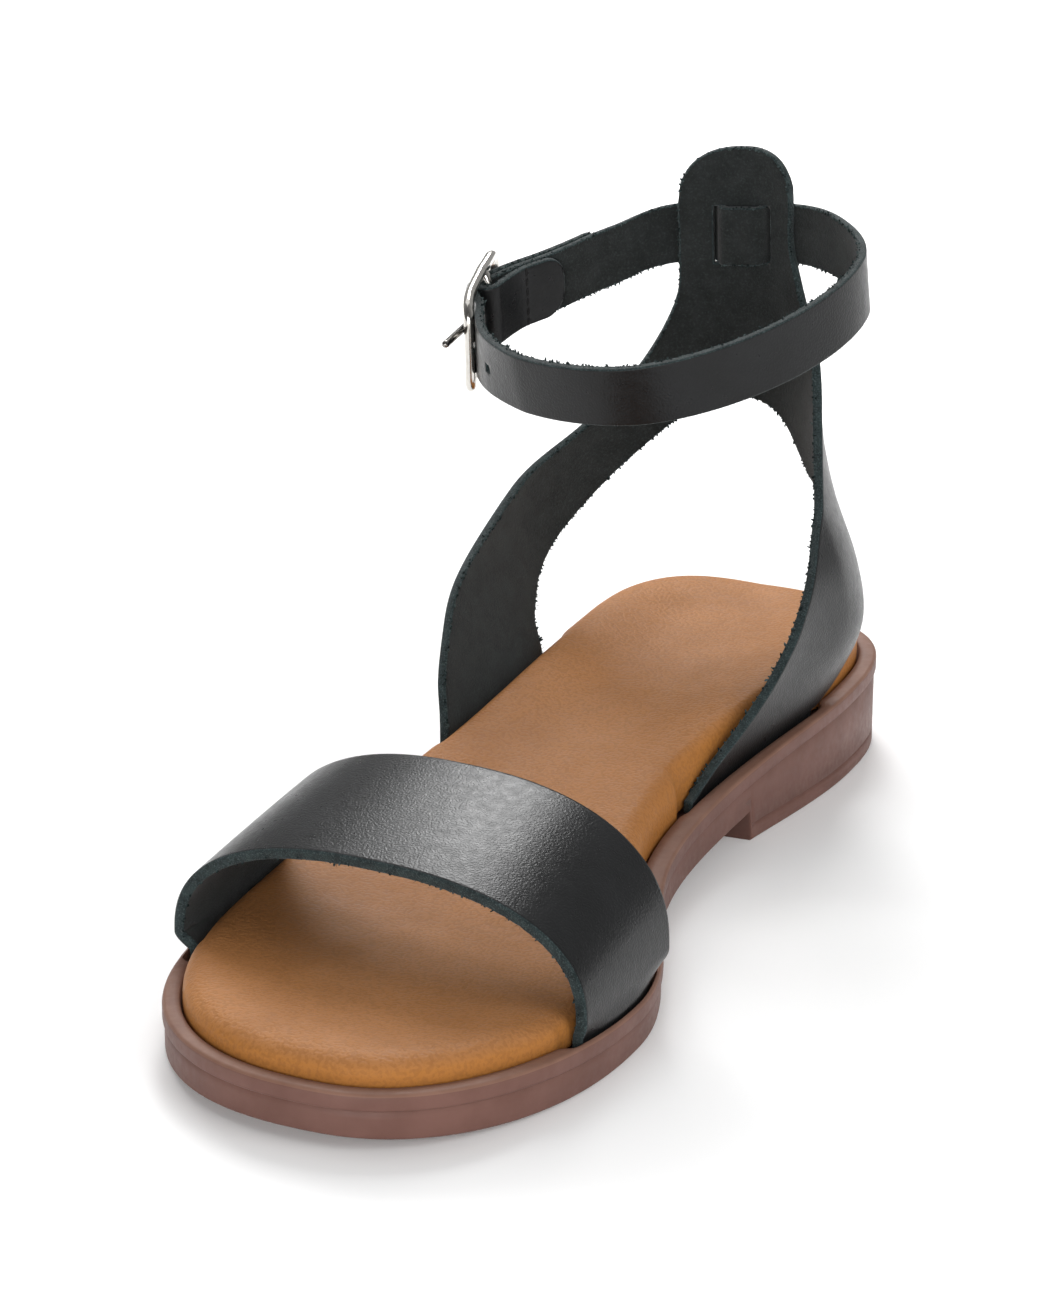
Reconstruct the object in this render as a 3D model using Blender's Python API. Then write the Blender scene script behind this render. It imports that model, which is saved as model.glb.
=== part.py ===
"""Flat sandal, right shoe: moulded sole, padded insole, toe band, heel quarter, ankle strap and buckle.

Sizes are in millimetres and become metres in add_object. The toe points to -Y, the inner side of the foot
is +X, and the shoe stands on z = 0. At the end the whole shoe is centred over the origin.
"""
import math
from collections import namedtuple

import bmesh
import bpy
import numpy as np

METRES = 0.001
GAP = 0.3
SHARP_ANGLE = 40.0

# Sole: driving sizes
SOLE_LENGTH = 255.0
TOE_Y = -SOLE_LENGTH / 2
HEEL_Y = SOLE_LENGTH / 2
TOE_TIP_X = 8.0
HEEL_ROUNDNESS = 2.7
BREAST_Y = 39.5
BREAST_RUN = 0.8
TOE_SPRING = 2.4
SPRING_START_Y = -72.0
ARCH_HEIGHT = 6.3
ARCH_START_Y = -36.0
STATIONS = 52

# Sole side: lip, wall and the line of the top lift round the heel
LIP_HEIGHT = 3.2
LIP_PROUD = 0.4
LIP_UNDERCUT = 0.3
LIP_EDGE = 0.6
BOTTOM_BEVEL = 0.6
LIFT_LINE_HEIGHT = 3.4
LIFT_LINE_HALF = 0.4
LIFT_LINE_DEPTH = 0.5
RECESS_DEPTH = 2.6
RECESS_DRAFT = 0.15

# One row for each side of the sole: half widths at ball, waist and heel
Side = namedtuple("Side", "sign ball_y ball_x waist_y waist_x waist_slope heel_y heel_x toe_power")
MEDIAL = Side(1, -66.0, 44.6, -8.0, 27.2, -0.24, 86.0, 33.5, 2.12)
LATERAL = Side(-1, -52.0, 45.1, 30.0, 36.4, -0.11, 85.0, 33.5, 2.3)

# One row for each station along the sole: height of the rim and width of its top
RimRow = namedtuple("RimRow", "y height width")
RIM = [
    RimRow(TOE_Y, 11.0, 3.4),
    RimRow(-60.0, 8.8, 3.4),
    RimRow(0.0, 11.0, 4.8),
    RimRow(60.0, 18.1, 4.2),
    RimRow(HEEL_Y, 20.6, 3.7),
]

# Insole: crown above the rim, rounding of its edge and hollow of its middle
CrownRow = namedtuple("CrownRow", "y rise edge_round dish lateral_lift")
CROWN = [
    CrownRow(TOE_Y, 4.6, 6.0, 0.0, 0.0),
    CrownRow(-60.0, 5.2, 6.0, 0.4, 1.1),
    CrownRow(0.0, 8.3, 5.0, 1.0, 1.6),
    CrownRow(60.0, 9.0, 4.8, 2.0, 1.6),
    CrownRow(HEEL_Y, 7.9, 5.6, 1.4, 1.6),
]
INSOLE_FOOT = 0.8
CROWN_FOOT = 0.8
CROWN_STEPS = 4
DISH_INSET = 8.0
CROWN_POWER = 2.6
LIFT_REACH = 30.0

# Straps
BAND_THICK = 2.2
QUARTER_THICK = 2.0
STRAP_THICK = 1.8
STRAP_WIDTH = 12.8

# Each strap end: where it starts and ends along the sole, and how far in from the edge it stands
Tuck = namedtuple("Tuck", "side front_y back_y front_inset back_inset thick")
BAND_MEDIAL = Tuck(MEDIAL, -86.8, -49.8, 1.6, 1.2, BAND_THICK)
BAND_LATERAL = Tuck(LATERAL, -77.5, -38.0, 1.4, 1.6, BAND_THICK)
LEG_MEDIAL = Tuck(MEDIAL, 22.0, 70.0, 4.4, 3.0, QUARTER_THICK)
LEG_LATERAL = Tuck(LATERAL, 18.0, 66.4, 4.0, 3.0, QUARTER_THICK)
TUCKS = (BAND_MEDIAL, BAND_LATERAL, LEG_MEDIAL, LEG_LATERAL)
TUCK_GAP = 0.5
TUCK_BLEND = 3.0
TUCK_BEFORE = 10.0
TUCK_BEYOND = 30.0
TUCK_SAMPLES = 400

# Toe band: one row for each edge of its arch
ArchRow = namedtuple("ArchRow", "top shoulder medial_x lateral_x")
BAND_FRONT = ArchRow(35.2, 12.5, 42.0, 45.2)
BAND_BACK = ArchRow(41.6, 14.0, 43.8, 42.6)
ARCH_POWER = 2.4
BAND_ACROSS = 6
ARCH_STEPS = 24
WALL_STEPS = 3
BAND_SWELL = 0.4

# Heel quarter: a U of leather round the heel, one row for each height
PIVOT_Y = 75.0
FLANK_RUN = 45.0
FLANK_BLEND = 45.0
REAR_END = 120.0
REAR_RUN = 50.0
MEDIAL_TAPER = 0.13
SectionRow = namedtuple("SectionRow", "height medial lateral depth lean medial_rear")
SECTIONS = [
    SectionRow(14.0, 30.5, 36.0, 40.0, 0.0, 0.0),
    SectionRow(30.0, 34.0, 40.7, 39.0, 0.0, 6.1),
    SectionRow(45.0, 35.0, 43.5, 38.0, 0.0, 0.5),
    SectionRow(60.0, 30.0, 41.4, 37.0, -0.4, -0.4),
    SectionRow(75.0, 26.8, 38.0, 36.0, -0.8, -0.3),
    SectionRow(105.0, 32.0, 35.0, 33.4, -1.2, 0.0),
    SectionRow(140.0, 32.0, 35.0, 31.0, -1.6, 0.0),
]
# Upper edge of the wishbone: angle from the back of the heel on each leg, in degrees
UpperRow = namedtuple("UpperRow", "height medial lateral")
UPPER_EDGE = [
    UpperRow(10.0, 164.0, 163.0),
    UpperRow(18.0, 147.0, 158.8),
    UpperRow(24.0, 133.5, 155.2),
    UpperRow(30.0, 124.0, 151.0),
    UpperRow(37.0, 117.5, 141.8),
    UpperRow(45.0, 112.0, 128.0),
    UpperRow(55.0, 99.0, 97.0),
    UpperRow(65.0, 85.0, 62.0),
    UpperRow(75.0, 69.0, 44.0),
    UpperRow(85.0, 50.5, 32.5),
    UpperRow(97.0, 30.0, 24.6),
    UpperRow(107.0, 22.2, 24.0),
    UpperRow(118.0, 21.5, 24.5),
]
# Lower edge: height of the arch over the heel at each angle from the back
LowerRow = namedtuple("LowerRow", "angle medial lateral")
LOWER_EDGE = [
    LowerRow(0.0, 74.0, 74.0),
    LowerRow(12.0, 73.0, 72.5),
    LowerRow(24.0, 69.5, 67.5),
    LowerRow(36.0, 60.5, 60.3),
    LowerRow(58.0, 47.2, 47.0),
    LowerRow(69.0, 37.0, 42.4),
    LowerRow(81.0, 23.5, 38.0),
    LowerRow(89.5, 20.0, 34.6),
    LowerRow(93.5, 19.0, 32.3),
    LowerRow(97.0, 18.4, 29.6),
    LowerRow(100.0, 18.0, 24.7),
]
LEG_ROWS = 14
LEG_FIRST_SHARE = 1 / 26
LEG_RISE = 0.25
LEG_SETTLE = 0.3
NECK_ROWS = 2
TAB_ROWS = 5
DOME_ROWS = 4
DOME_POWER = 2.4
CROTCH_EDGE_Z = 88.0
TAB_TOP = 129.5
TAB_STRAP_Z = 110.5
TAB_TILT = 0.08
SLOT_INNER_X = 3.6
SLOT_WIDTH = 3.2
SLOT_CLEARANCE = 0.3
LEG_COLUMNS = (0.0, 0.2, 0.4, 0.7, 1.0)
SLOT_COLUMN = 2

# Ankle strap: a slack hoop, lower at the front and on the buckle side
HOOP_CENTRE = np.array([-6.8, 75.1, 100.9])
HOOP_HALF_WIDTH = 42.0
HOOP_FRONT = 39.4
HOOP_BACK = 36.2
HOOP_POWER = 1.75
HOOP_TURN = math.radians(11.4)
HOOP_EGG = 0.06
HOOP_SLOPE = np.array([0.13, 0.25])
HOOP_SAMPLES = 1440
TAB_FOLLOW = 11.0
TAB_LEAVE = 28.0
STRAP_STEP = 3.0
STRAP_ROWS = (-0.5, -0.1, 0.18, 0.5)
SLOT_ROW = 1
TAIL_LENGTH = 28.5
FLAP_LENGTH = 18.0
STITCH_RUN = 8.5
FOLD_STEPS = 8
WEAVE_SLOPE = 78.0

# Buckle, in strap coordinates: along the strap from the pivot bar, out from the hoop's line, and across
BUCKLE_TURN = math.radians(162.0)
BAR_RADIUS = 1.0
PIVOT_RADIUS = 0.9
FRONT_BAR_ALONG = 15.5
BACK_BAR_ALONG = -8.5
FRAME_CLEARANCE = 1.5
FRAME_SAG = 0.1
FRAME_BOW = 1.6
PIVOT_SPARE = 0.7
FRAME_TWIST = 0.1
TWIST_FADE = 26.0
BACK_BAR_LIFT = 1.5
FRAME_CORNER = 2.2
CORNER_STEPS = 3
FRAME_SIDE_STEPS = 10
TUBE_SIDES = 8
OUT_WAY = np.array([0.0, 1.0, 0.0])
UP_WAY = np.array([0.0, 0.0, 1.0])
PRONG_RADIUS = 0.8
HOLE_START = 1.8
HOLE_END = 6.8
PRONG_SLIT = 4.0
HOOK_START = 180.0
HOOK_STEPS = 7
FOLD_RADIUS = STRAP_THICK / 2 + GAP + PIVOT_RADIUS
LAYER_STEP = STRAP_THICK + GAP
BAR_REST = STRAP_THICK / 2 + GAP + BAR_RADIUS

# Line of the billet through the buckle; behind the pivot bar the strap's other end lies one layer inside it
BilletRow = namedtuple("BilletRow", "along out")
BILLET = [
    BilletRow(-60.0, 2.1),
    BilletRow(-45.0, 1.6),
    BilletRow(-28.5, 0.2),
    BilletRow(-19.0, -0.6),
    BilletRow(-13.5, 0.2),
    BilletRow(-8.5, 1.9),
    BilletRow(-3.5, 3.2),
    BilletRow(1.0, 4.0),
    BilletRow(3.6, 2.4),
    BilletRow(6.8, -1.7),
    BilletRow(10.5, -2.9),
    BilletRow(14.5, -2.8),
    BilletRow(26.5, -1.6),
    BilletRow(41.5, 0.0),
]
# Prong: a straight shank from its hook on the pivot bar, through the billet's hole and over the front bar
PRONG_START = (2.0, 1.5, 0.3)
PRONG_AT_BAR = 3.0
PRONG_REACH = 1.68
PRONG_STEPS = 6

# Colours of the materials: linear red, green and blue, roughness and metallic value
Finish = namedtuple("Finish", "colour roughness metallic")
FINISHES = {
    "sole_rubber": Finish((0.19, 0.10, 0.085), 0.55, 0.0),
    "insole_leather": Finish((0.45, 0.22, 0.08), 0.5, 0.0),
    "strap_leather": Finish((0.010, 0.011, 0.012), 0.42, 0.0),
    "buckle_nickel": Finish((0.72, 0.70, 0.67), 0.2, 1.0),
}


# Curves

def hermite(at, start, end):
    """Cubic from start to end, each given as place, value and slope."""
    span = end[0] - start[0]
    share = (at - start[0]) / span
    leaving = (1 + 2 * share) * (1 - share) ** 2 * start[1] + share * (1 - share) ** 2 * span * start[2]
    arriving = share ** 2 * (3 - 2 * share) * end[1] - share ** 2 * (1 - share) * span * end[2]
    return leaving + arriving


def table_curve(table, key, column, at):
    """Smooth curve through one named column of a table, held at its first and last rows."""
    knots = np.array([getattr(row, key) for row in table], float)
    values = np.array([getattr(row, column) for row in table], float)
    slopes = np.gradient(values, knots)
    at = np.clip(np.asarray(at, float), knots[0], knots[-1])
    row = np.clip(np.searchsorted(knots, at) - 1, 0, len(knots) - 2)
    start = (knots[row], values[row], slopes[row])
    end = (knots[row + 1], values[row + 1], slopes[row + 1])
    return hermite(at, start, end)


def smooth_step(share):
    share = np.clip(share, 0.0, 1.0)
    return share * share * (3 - 2 * share)


def unit(vectors):
    return vectors / np.linalg.norm(vectors, axis=-1, keepdims=True)


# The sole's own sizes along its length

def side_x(side, y):
    """Half width of the sole at y on one side: toe and heel are superellipse quarters."""
    y = np.asarray(y, float)
    tip = side.sign * TOE_TIP_X
    toe_share = np.clip((side.ball_y - y) / (side.ball_y - TOE_Y), 0, 1)
    toe = tip + (side.ball_x - tip) * (1 - toe_share ** side.toe_power) ** (1 / side.toe_power)
    heel_share = np.clip((y - side.heel_y) / (HEEL_Y - side.heel_y), 0, 1)
    heel = side.heel_x * (1 - heel_share ** HEEL_ROUNDNESS) ** (1 / HEEL_ROUNDNESS)
    ball = (side.ball_y, side.ball_x, 0.0)
    waist = (side.waist_y, side.waist_x, side.waist_slope)
    seat = (side.heel_y, side.heel_x, 0.0)
    middle = np.where(y < side.waist_y, hermite(y, ball, waist), hermite(y, waist, seat))
    return np.where(y < side.ball_y, toe, np.where(y > side.heel_y, heel, middle))


def rim_height(y):
    return table_curve(RIM, "y", "height", y)


def floor_height(y):
    """Floor of the recess inside the rim, which carries the insole and the strap ends."""
    return rim_height(y) - RECESS_DEPTH


def ground_height(y):
    """Underside of the sole: toe spring, flat forefoot, rising waist, heel breast and flat heel."""
    spring = TOE_SPRING * np.clip((SPRING_START_Y - y) / (SPRING_START_Y - TOE_Y), 0, 1) ** 2
    arch = ARCH_HEIGHT * np.clip((y - ARCH_START_Y) / (BREAST_Y - ARCH_START_Y), 0, 1) ** 2
    return np.where(y > BREAST_Y, 0.0, spring + arch)


def tuck_inset(tuck, y):
    """Distance from the sole's edge to the outer face of a strap end."""
    share = np.clip((y - tuck.front_y) / (tuck.back_y - tuck.front_y), 0, 1)
    return tuck.front_inset + share * (tuck.back_inset - tuck.front_inset)


def tuck_share(tuck, y):
    """One where a strap end goes down beside the insole, fading to nothing past its edges."""
    before = (y - tuck.front_y) / TUCK_BLEND + 2
    after = (tuck.back_y - y) / TUCK_BLEND + 2
    return smooth_step(np.minimum(before, after))


def tuck_x(tuck, y):
    """Half width at y to a strap end's outer face, which stands square in from the sole's edge."""
    stations = np.linspace(tuck.front_y - TUCK_BEFORE, tuck.back_y + TUCK_BEYOND, TUCK_SAMPLES)
    edge = side_x(tuck.side, stations)
    slope = np.gradient(edge, stations)
    inset = tuck_inset(tuck, stations) / np.sqrt(1 + slope ** 2)
    return np.interp(y, stations + inset * slope, edge - inset)


# Loops round the sole

class Outline:
    """The sole's edge as one loop: toe tip, lateral side, heel tip, then the medial side back."""

    def __init__(self):
        stations = TOE_Y * np.cos(np.linspace(0, math.pi, STATIONS)[1:-1])
        stations = stations[np.abs(stations - BREAST_Y) > 2 * BREAST_RUN]
        along = np.sort(np.append(stations, (BREAST_Y, BREAST_Y + BREAST_RUN)))
        lateral = np.column_stack([-side_x(LATERAL, along), along])
        medial = np.column_stack([side_x(MEDIAL, along), along])
        self.side_count = len(along)
        self.points = np.vstack([[TOE_TIP_X, TOE_Y], lateral, [0.0, HEEL_Y], medial[::-1]])
        self.size = len(self.points)
        self.y = self.points[:, 1]
        self.is_lateral = np.arange(self.size) <= self.side_count
        before = unit(self.points - np.roll(self.points, 1, axis=0))
        after = unit(np.roll(self.points, -1, axis=0) - self.points)
        tangent = unit(before + after)
        self.outward = np.column_stack([-tangent[:, 1], tangent[:, 0]])

    def ring(self, inset, height):
        inset = np.broadcast_to(inset, self.y.shape)
        height = np.broadcast_to(height, self.y.shape)
        return np.column_stack([self.points - self.outward * inset[:, None], height])

    def beside_tucks(self, plain, at_tuck):
        """A distance from the edge that turns from plain to at_tuck(tuck, y) beside each strap end."""
        inset = np.array(np.broadcast_to(plain, self.y.shape), float)
        for tuck in TUCKS:
            on_side = self.is_lateral if tuck.side is LATERAL else ~self.is_lateral
            inset += on_side * tuck_share(tuck, self.y) * (at_tuck(tuck, self.y) - plain)
        return inset

    def cap(self, start):
        """Faces that close the ring whose first point is start, station by station across the sole."""
        faces = []
        for step in range(self.side_count + 1):
            corners = (step, step + 1, self.size - step - 1, (self.size - step) % self.size)
            faces.append([start + corner for corner in dict.fromkeys(corners)])
        return faces

    def body(self, rings):
        """Closed body from rings that run from the underside, up the outside, to the last inner ring."""
        faces = self.cap(0) + self.cap((len(rings) - 1) * self.size)
        for low in range(0, (len(rings) - 1) * self.size, self.size):
            for step in range(self.size):
                following = (step + 1) % self.size
                high = low + self.size
                faces.append([low + step, low + following, high + following, high + step])
        return np.vstack(rings), faces


# Sheets of leather

def grid_faces(rows, columns, skip=()):
    """Four-sided faces of a grid of points, without the cells named in skip."""
    faces = []
    for row in range(rows - 1):
        for column in range(columns - 1):
            if (row, column) not in skip:
                corner = row * columns + column
                faces.append([corner, corner + 1, corner + columns + 1, corner + columns])
    return faces


def sheet_normals(points, faces):
    """Normals at the points of an open sheet, averaged over the faces that meet there."""
    normals = np.zeros_like(points)
    for face in faces:
        corners = points[face]
        normals[face] += np.cross(corners, np.roll(corners, -1, axis=0)).sum(axis=0)
    return unit(normals)


def wall_between(outer, inner, faces):
    """Closed body from the two faces of a sheet, walled along every open edge, holes included."""
    count = len(outer)
    edges = {}
    for face in faces:
        for start, end in zip(face, face[1:] + face[:1]):
            edges[(start, end)] = edges.get((start, end), 0) + 1
    solid = [list(face) for face in faces]
    solid += [[count + point for point in reversed(face)] for face in faces]
    for start, end in edges:
        if (end, start) not in edges:
            solid.append([end, start, count + start, count + end])
    return np.vstack([outer, inner]), solid


# Pieces

def outsole():
    edge = Outline()
    ground = ground_height(edge.y)
    rim = rim_height(edge.y)
    wall = LIP_PROUD
    line = wall + LIFT_LINE_DEPTH * (edge.y > BREAST_Y)
    line_low = ground + LIFT_LINE_HEIGHT - LIFT_LINE_HALF
    width = table_curve(RIM, "y", "width", edge.y)
    inner = edge.beside_tucks(width, lambda tuck, y: tuck_inset(tuck, y) - TUCK_GAP)
    rings = [
        edge.ring(wall + BOTTOM_BEVEL, ground),
        edge.ring(wall, ground + BOTTOM_BEVEL),
        edge.ring(wall, line_low),
        edge.ring(line, line_low + LIFT_LINE_HALF),
        edge.ring(wall, line_low + 2 * LIFT_LINE_HALF),
        edge.ring(wall, rim - LIP_HEIGHT - LIP_UNDERCUT),
        edge.ring(0.0, rim - LIP_HEIGHT),
        edge.ring(0.0, rim - LIP_EDGE),
        edge.ring(LIP_EDGE, rim),
        edge.ring(inner, rim),
        edge.ring(inner + RECESS_DRAFT, floor_height(edge.y)),
    ]
    return edge.body(rings)


def insole_lift(points):
    """The footbed's outer side stands higher than its inner side."""
    lift = table_curve(CROWN, "y", "lateral_lift", points[:, 1])
    return lift * np.clip(-points[:, 0] / LIFT_REACH, 0, 1)


def insole():
    edge = Outline()
    power = 2 / CROWN_POWER
    rim = rim_height(edge.y)
    rise = table_curve(CROWN, "y", "rise", edge.y)
    dish = table_curve(CROWN, "y", "dish", edge.y)
    width = table_curve(RIM, "y", "width", edge.y)
    free = width + RECESS_DRAFT + GAP
    side = edge.beside_tucks(free, lambda tuck, y: tuck_inset(tuck, y) + tuck.thick + TUCK_GAP)
    crown_inset = free + table_curve(CROWN, "y", "edge_round", edge.y)
    base = floor_height(edge.y) + GAP
    rings = [edge.ring(side + INSOLE_FOOT, base), edge.ring(side, base + INSOLE_FOOT)]
    for step in range(CROWN_STEPS + 1):
        turn = math.pi / 2 * step / CROWN_STEPS
        inset = side + (crown_inset - side) * (1 - math.cos(turn) ** power)
        climb = math.sin(turn) ** power
        rings.append(edge.ring(inset, rim + CROWN_FOOT + (rise - CROWN_FOOT) * climb))
        rings[-1][:, 2] += climb * insole_lift(rings[-1])
    for share in (0.5, 1.0):
        inset = crown_inset + 2 * DISH_INSET * share
        rings.append(edge.ring(inset, rim + rise - dish * smooth_step(share)))
        rings[-1][:, 2] += insole_lift(rings[-1])
    return edge.body(rings)


def arch_line(row, base_left, base_right):
    """Cross line of the toe band, from the lateral base over the toes to the medial base, as x and z."""
    turns = np.linspace(math.pi, 0, ARCH_STEPS + 1)
    middle = (row.medial_x - row.lateral_x) / 2
    half = (row.medial_x + row.lateral_x) / 2
    power = 2 / ARCH_POWER
    arch_x = middle + half * np.sign(np.cos(turns)) * np.abs(np.cos(turns)) ** power
    arch_z = row.shoulder + (row.top - row.shoulder) * np.abs(np.sin(turns)) ** power
    left = wall_line(base_left, arch_x[0], row.shoulder)
    right = wall_line(base_right, arch_x[-1], row.shoulder)
    return np.vstack([left, np.column_stack([arch_x, arch_z]), right[::-1]])


def wall_line(base, shoulder_x, shoulder_z):
    """Wall of the toe band: straight up to the rim, then leaning out to the shoulder of the arch."""
    base_x, foot_z, rim_z = base
    line = [(base_x, foot_z)]
    for step in range(WALL_STEPS):
        share = step / WALL_STEPS
        lean = math.sin(share * math.pi / 2)
        line.append((base_x + lean * (shoulder_x - base_x), rim_z + share * (shoulder_z - rim_z)))
    return np.array(line)


def front_band():
    lines = []
    for share in np.linspace(0, 1, BAND_ACROSS + 1):
        row = ArchRow(*[front + share * (back - front) for front, back in zip(BAND_FRONT, BAND_BACK)])
        swell = BAND_SWELL * 4 * share * (1 - share)
        row = row._replace(top=row.top + swell)
        left_y = BAND_LATERAL.front_y + share * (BAND_LATERAL.back_y - BAND_LATERAL.front_y)
        right_y = BAND_MEDIAL.front_y + share * (BAND_MEDIAL.back_y - BAND_MEDIAL.front_y)
        left = (-tuck_x(BAND_LATERAL, left_y), floor_height(left_y) + GAP, rim_height(left_y) + GAP)
        right = (tuck_x(BAND_MEDIAL, right_y), floor_height(right_y) + GAP, rim_height(right_y) + GAP)
        x, z = arch_line(row, left, right).T
        across = (x - left[0]) / (right[0] - left[0])
        lines.append(np.column_stack([x, left_y + across * (right_y - left_y), z]))
    outer = np.vstack(lines)
    faces = grid_faces(len(lines), len(lines[0]))
    inner = outer - sheet_normals(outer, faces) * BAND_THICK
    return wall_between(outer, inner, faces)


def quarter_surface(leg, angle, height):
    """Outer face of the heel quarter at an angle from the back of the heel and a height."""
    side = leg.side
    column = "medial" if side is MEDIAL else "lateral"
    turn = np.radians(np.minimum(angle, 90.0))
    depth = table_curve(SECTIONS, "height", "depth", height)
    y = PIVOT_Y + depth * np.cos(turn) - FLANK_RUN * np.radians(np.maximum(angle - 90.0, 0.0))
    half_width = table_curve(SECTIONS, "height", column, height)
    if side is MEDIAL:
        behind = smooth_step((REAR_END - angle) / REAR_RUN)
        half_width = half_width + behind * table_curve(SECTIONS, "height", "medial_rear", height)
        half_width = half_width - MEDIAL_TAPER * np.maximum(PIVOT_Y - y, 0.0)
    free_x = half_width * np.sin(turn)
    foot_x = tuck_x(leg, y)
    climb = np.clip((height - rim_height(y)) / FLANK_BLEND, 0, 1)
    climb = climb * (2 - climb)
    x = foot_x + climb * (free_x - foot_x)
    lean = table_curve(SECTIONS, "height", "lean", height)
    return np.column_stack([side.sign * x + lean, y, height])


def flank_angle(y):
    """Angle of a place on the straight flank in front of the pivot line."""
    return 90.0 + np.degrees((PIVOT_Y - y) / FLANK_RUN)


def leg_half(leg):
    """Rows of angle and height over one leg and its half of the neck and tab."""
    column = "medial" if leg.side is MEDIAL else "lateral"
    columns = np.array(LEG_COLUMNS)
    foot_y = leg.front_y + columns * (leg.back_y - leg.front_y)
    depth = SECTIONS[0].depth
    back_angle = np.degrees(np.arccos((foot_y - PIVOT_Y).clip(0) / depth))
    foot_angle = np.where(foot_y < PIVOT_Y, flank_angle(foot_y), back_angle)
    foot_z = floor_height(foot_y) + GAP
    angles = [foot_angle, foot_angle]
    heights = [foot_z, rim_height(foot_y) + GAP]
    for share in np.append(LEG_FIRST_SHARE, np.linspace(0, 1, LEG_ROWS + 1)[1:]):
        upper_z = foot_z[0] + share * (CROTCH_EDGE_Z - foot_z[0])
        upper_angle = table_curve(UPPER_EDGE, "height", column, upper_z)
        lower_angle = foot_angle[-1] * (1 - share)
        lower_z = table_curve(LOWER_EDGE, "angle", column, lower_angle)
        row_angle = upper_angle + columns * (lower_angle - upper_angle)
        row_z = upper_z + columns * (lower_z - upper_z)
        if share == LEG_FIRST_SHARE:
            beside_y = quarter_surface(leg, row_angle, row_z)[:, 1]
            shortage = np.maximum(rim_height(beside_y) + GAP + LEG_RISE - row_z, 0.0)
        settle = smooth_step(1 - (share - LEG_FIRST_SHARE) / LEG_SETTLE)
        angles.append(row_angle)
        heights.append(row_z + settle * shortage)
    slot_half = STRAP_WIDTH / 2 + SLOT_CLEARANCE
    slot_low = TAB_STRAP_Z - slot_half
    slot_high = TAB_STRAP_Z + slot_half
    crotch_z = LOWER_EDGE[0].medial
    for share in np.linspace(0, 1, NECK_ROWS + 2)[1:-1]:
        upper_z = CROTCH_EDGE_Z + share * (slot_low - CROTCH_EDGE_Z)
        middle_z = crotch_z + share * (slot_low - crotch_z)
        upper_angle = table_curve(UPPER_EDGE, "height", column, upper_z)
        angles.append(upper_angle * (1 - columns))
        heights.append(upper_z + columns * (middle_z - upper_z))
    for level in np.linspace(slot_low, slot_high, TAB_ROWS):
        half_width = table_curve(SECTIONS, "height", column, level)
        upper_angle = float(table_curve(UPPER_EDGE, "height", column, level))
        slot_inner = math.degrees(math.asin(SLOT_INNER_X / half_width))
        slot_outer = math.degrees(math.asin((SLOT_INNER_X + SLOT_WIDTH) / half_width))
        across = np.array([upper_angle, (upper_angle + slot_outer) / 2, slot_outer, slot_inner, 0.0])
        angles.append(across)
        heights.append(level + TAB_TILT * leg.side.sign * half_width * np.sin(np.radians(across)))
    side_angle = angles[-1]
    across = side_angle / side_angle[0]
    dome = (TAB_TOP - slot_high) * (1 - across ** DOME_POWER) ** (1 / DOME_POWER)
    dome_foot = heights[-1]
    for share in np.linspace(0, 1, DOME_ROWS + 1)[1:]:
        angles.append(side_angle)
        heights.append(dome_foot + dome * share)
    return np.array(angles), np.array(heights)


def heel_quarter():
    slot_start = LEG_ROWS + NECK_ROWS + 3
    skip = {(row, SLOT_COLUMN) for row in range(slot_start, slot_start + TAB_ROWS - 1)}
    points = []
    faces = []
    for leg in (LEG_MEDIAL, LEG_LATERAL):
        angles, heights = leg_half(leg)
        rows, columns = angles.shape
        sheet = grid_faces(rows, columns, skip)
        if leg.side is LATERAL:
            sheet = [face[::-1] for face in sheet]
        start = sum(len(part) for part in points)
        faces += [[start + point for point in face] for face in sheet]
        points.append(quarter_surface(leg, angles.ravel(), heights.ravel()))
    points = np.vstack(points)
    points, faces = weld(points, faces)
    inner = points - sheet_normals(points, faces) * QUARTER_THICK
    return wall_between(points, inner, faces)


def weld(points, faces):
    """Join points that share a place, such as the two halves along the back of the heel."""
    keys = {}
    new_index = []
    kept = []
    for point in points:
        key = tuple(np.round(point, 3))
        if key not in keys:
            keys[key] = len(kept)
            kept.append(point)
        new_index.append(keys[key])
    joined = []
    for face in faces:
        corners = list(dict.fromkeys(new_index[point] for point in face))
        if len(corners) > 2:
            joined.append(corners)
    return np.array(kept), joined


# Ankle strap and buckle, in strap coordinates

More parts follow.
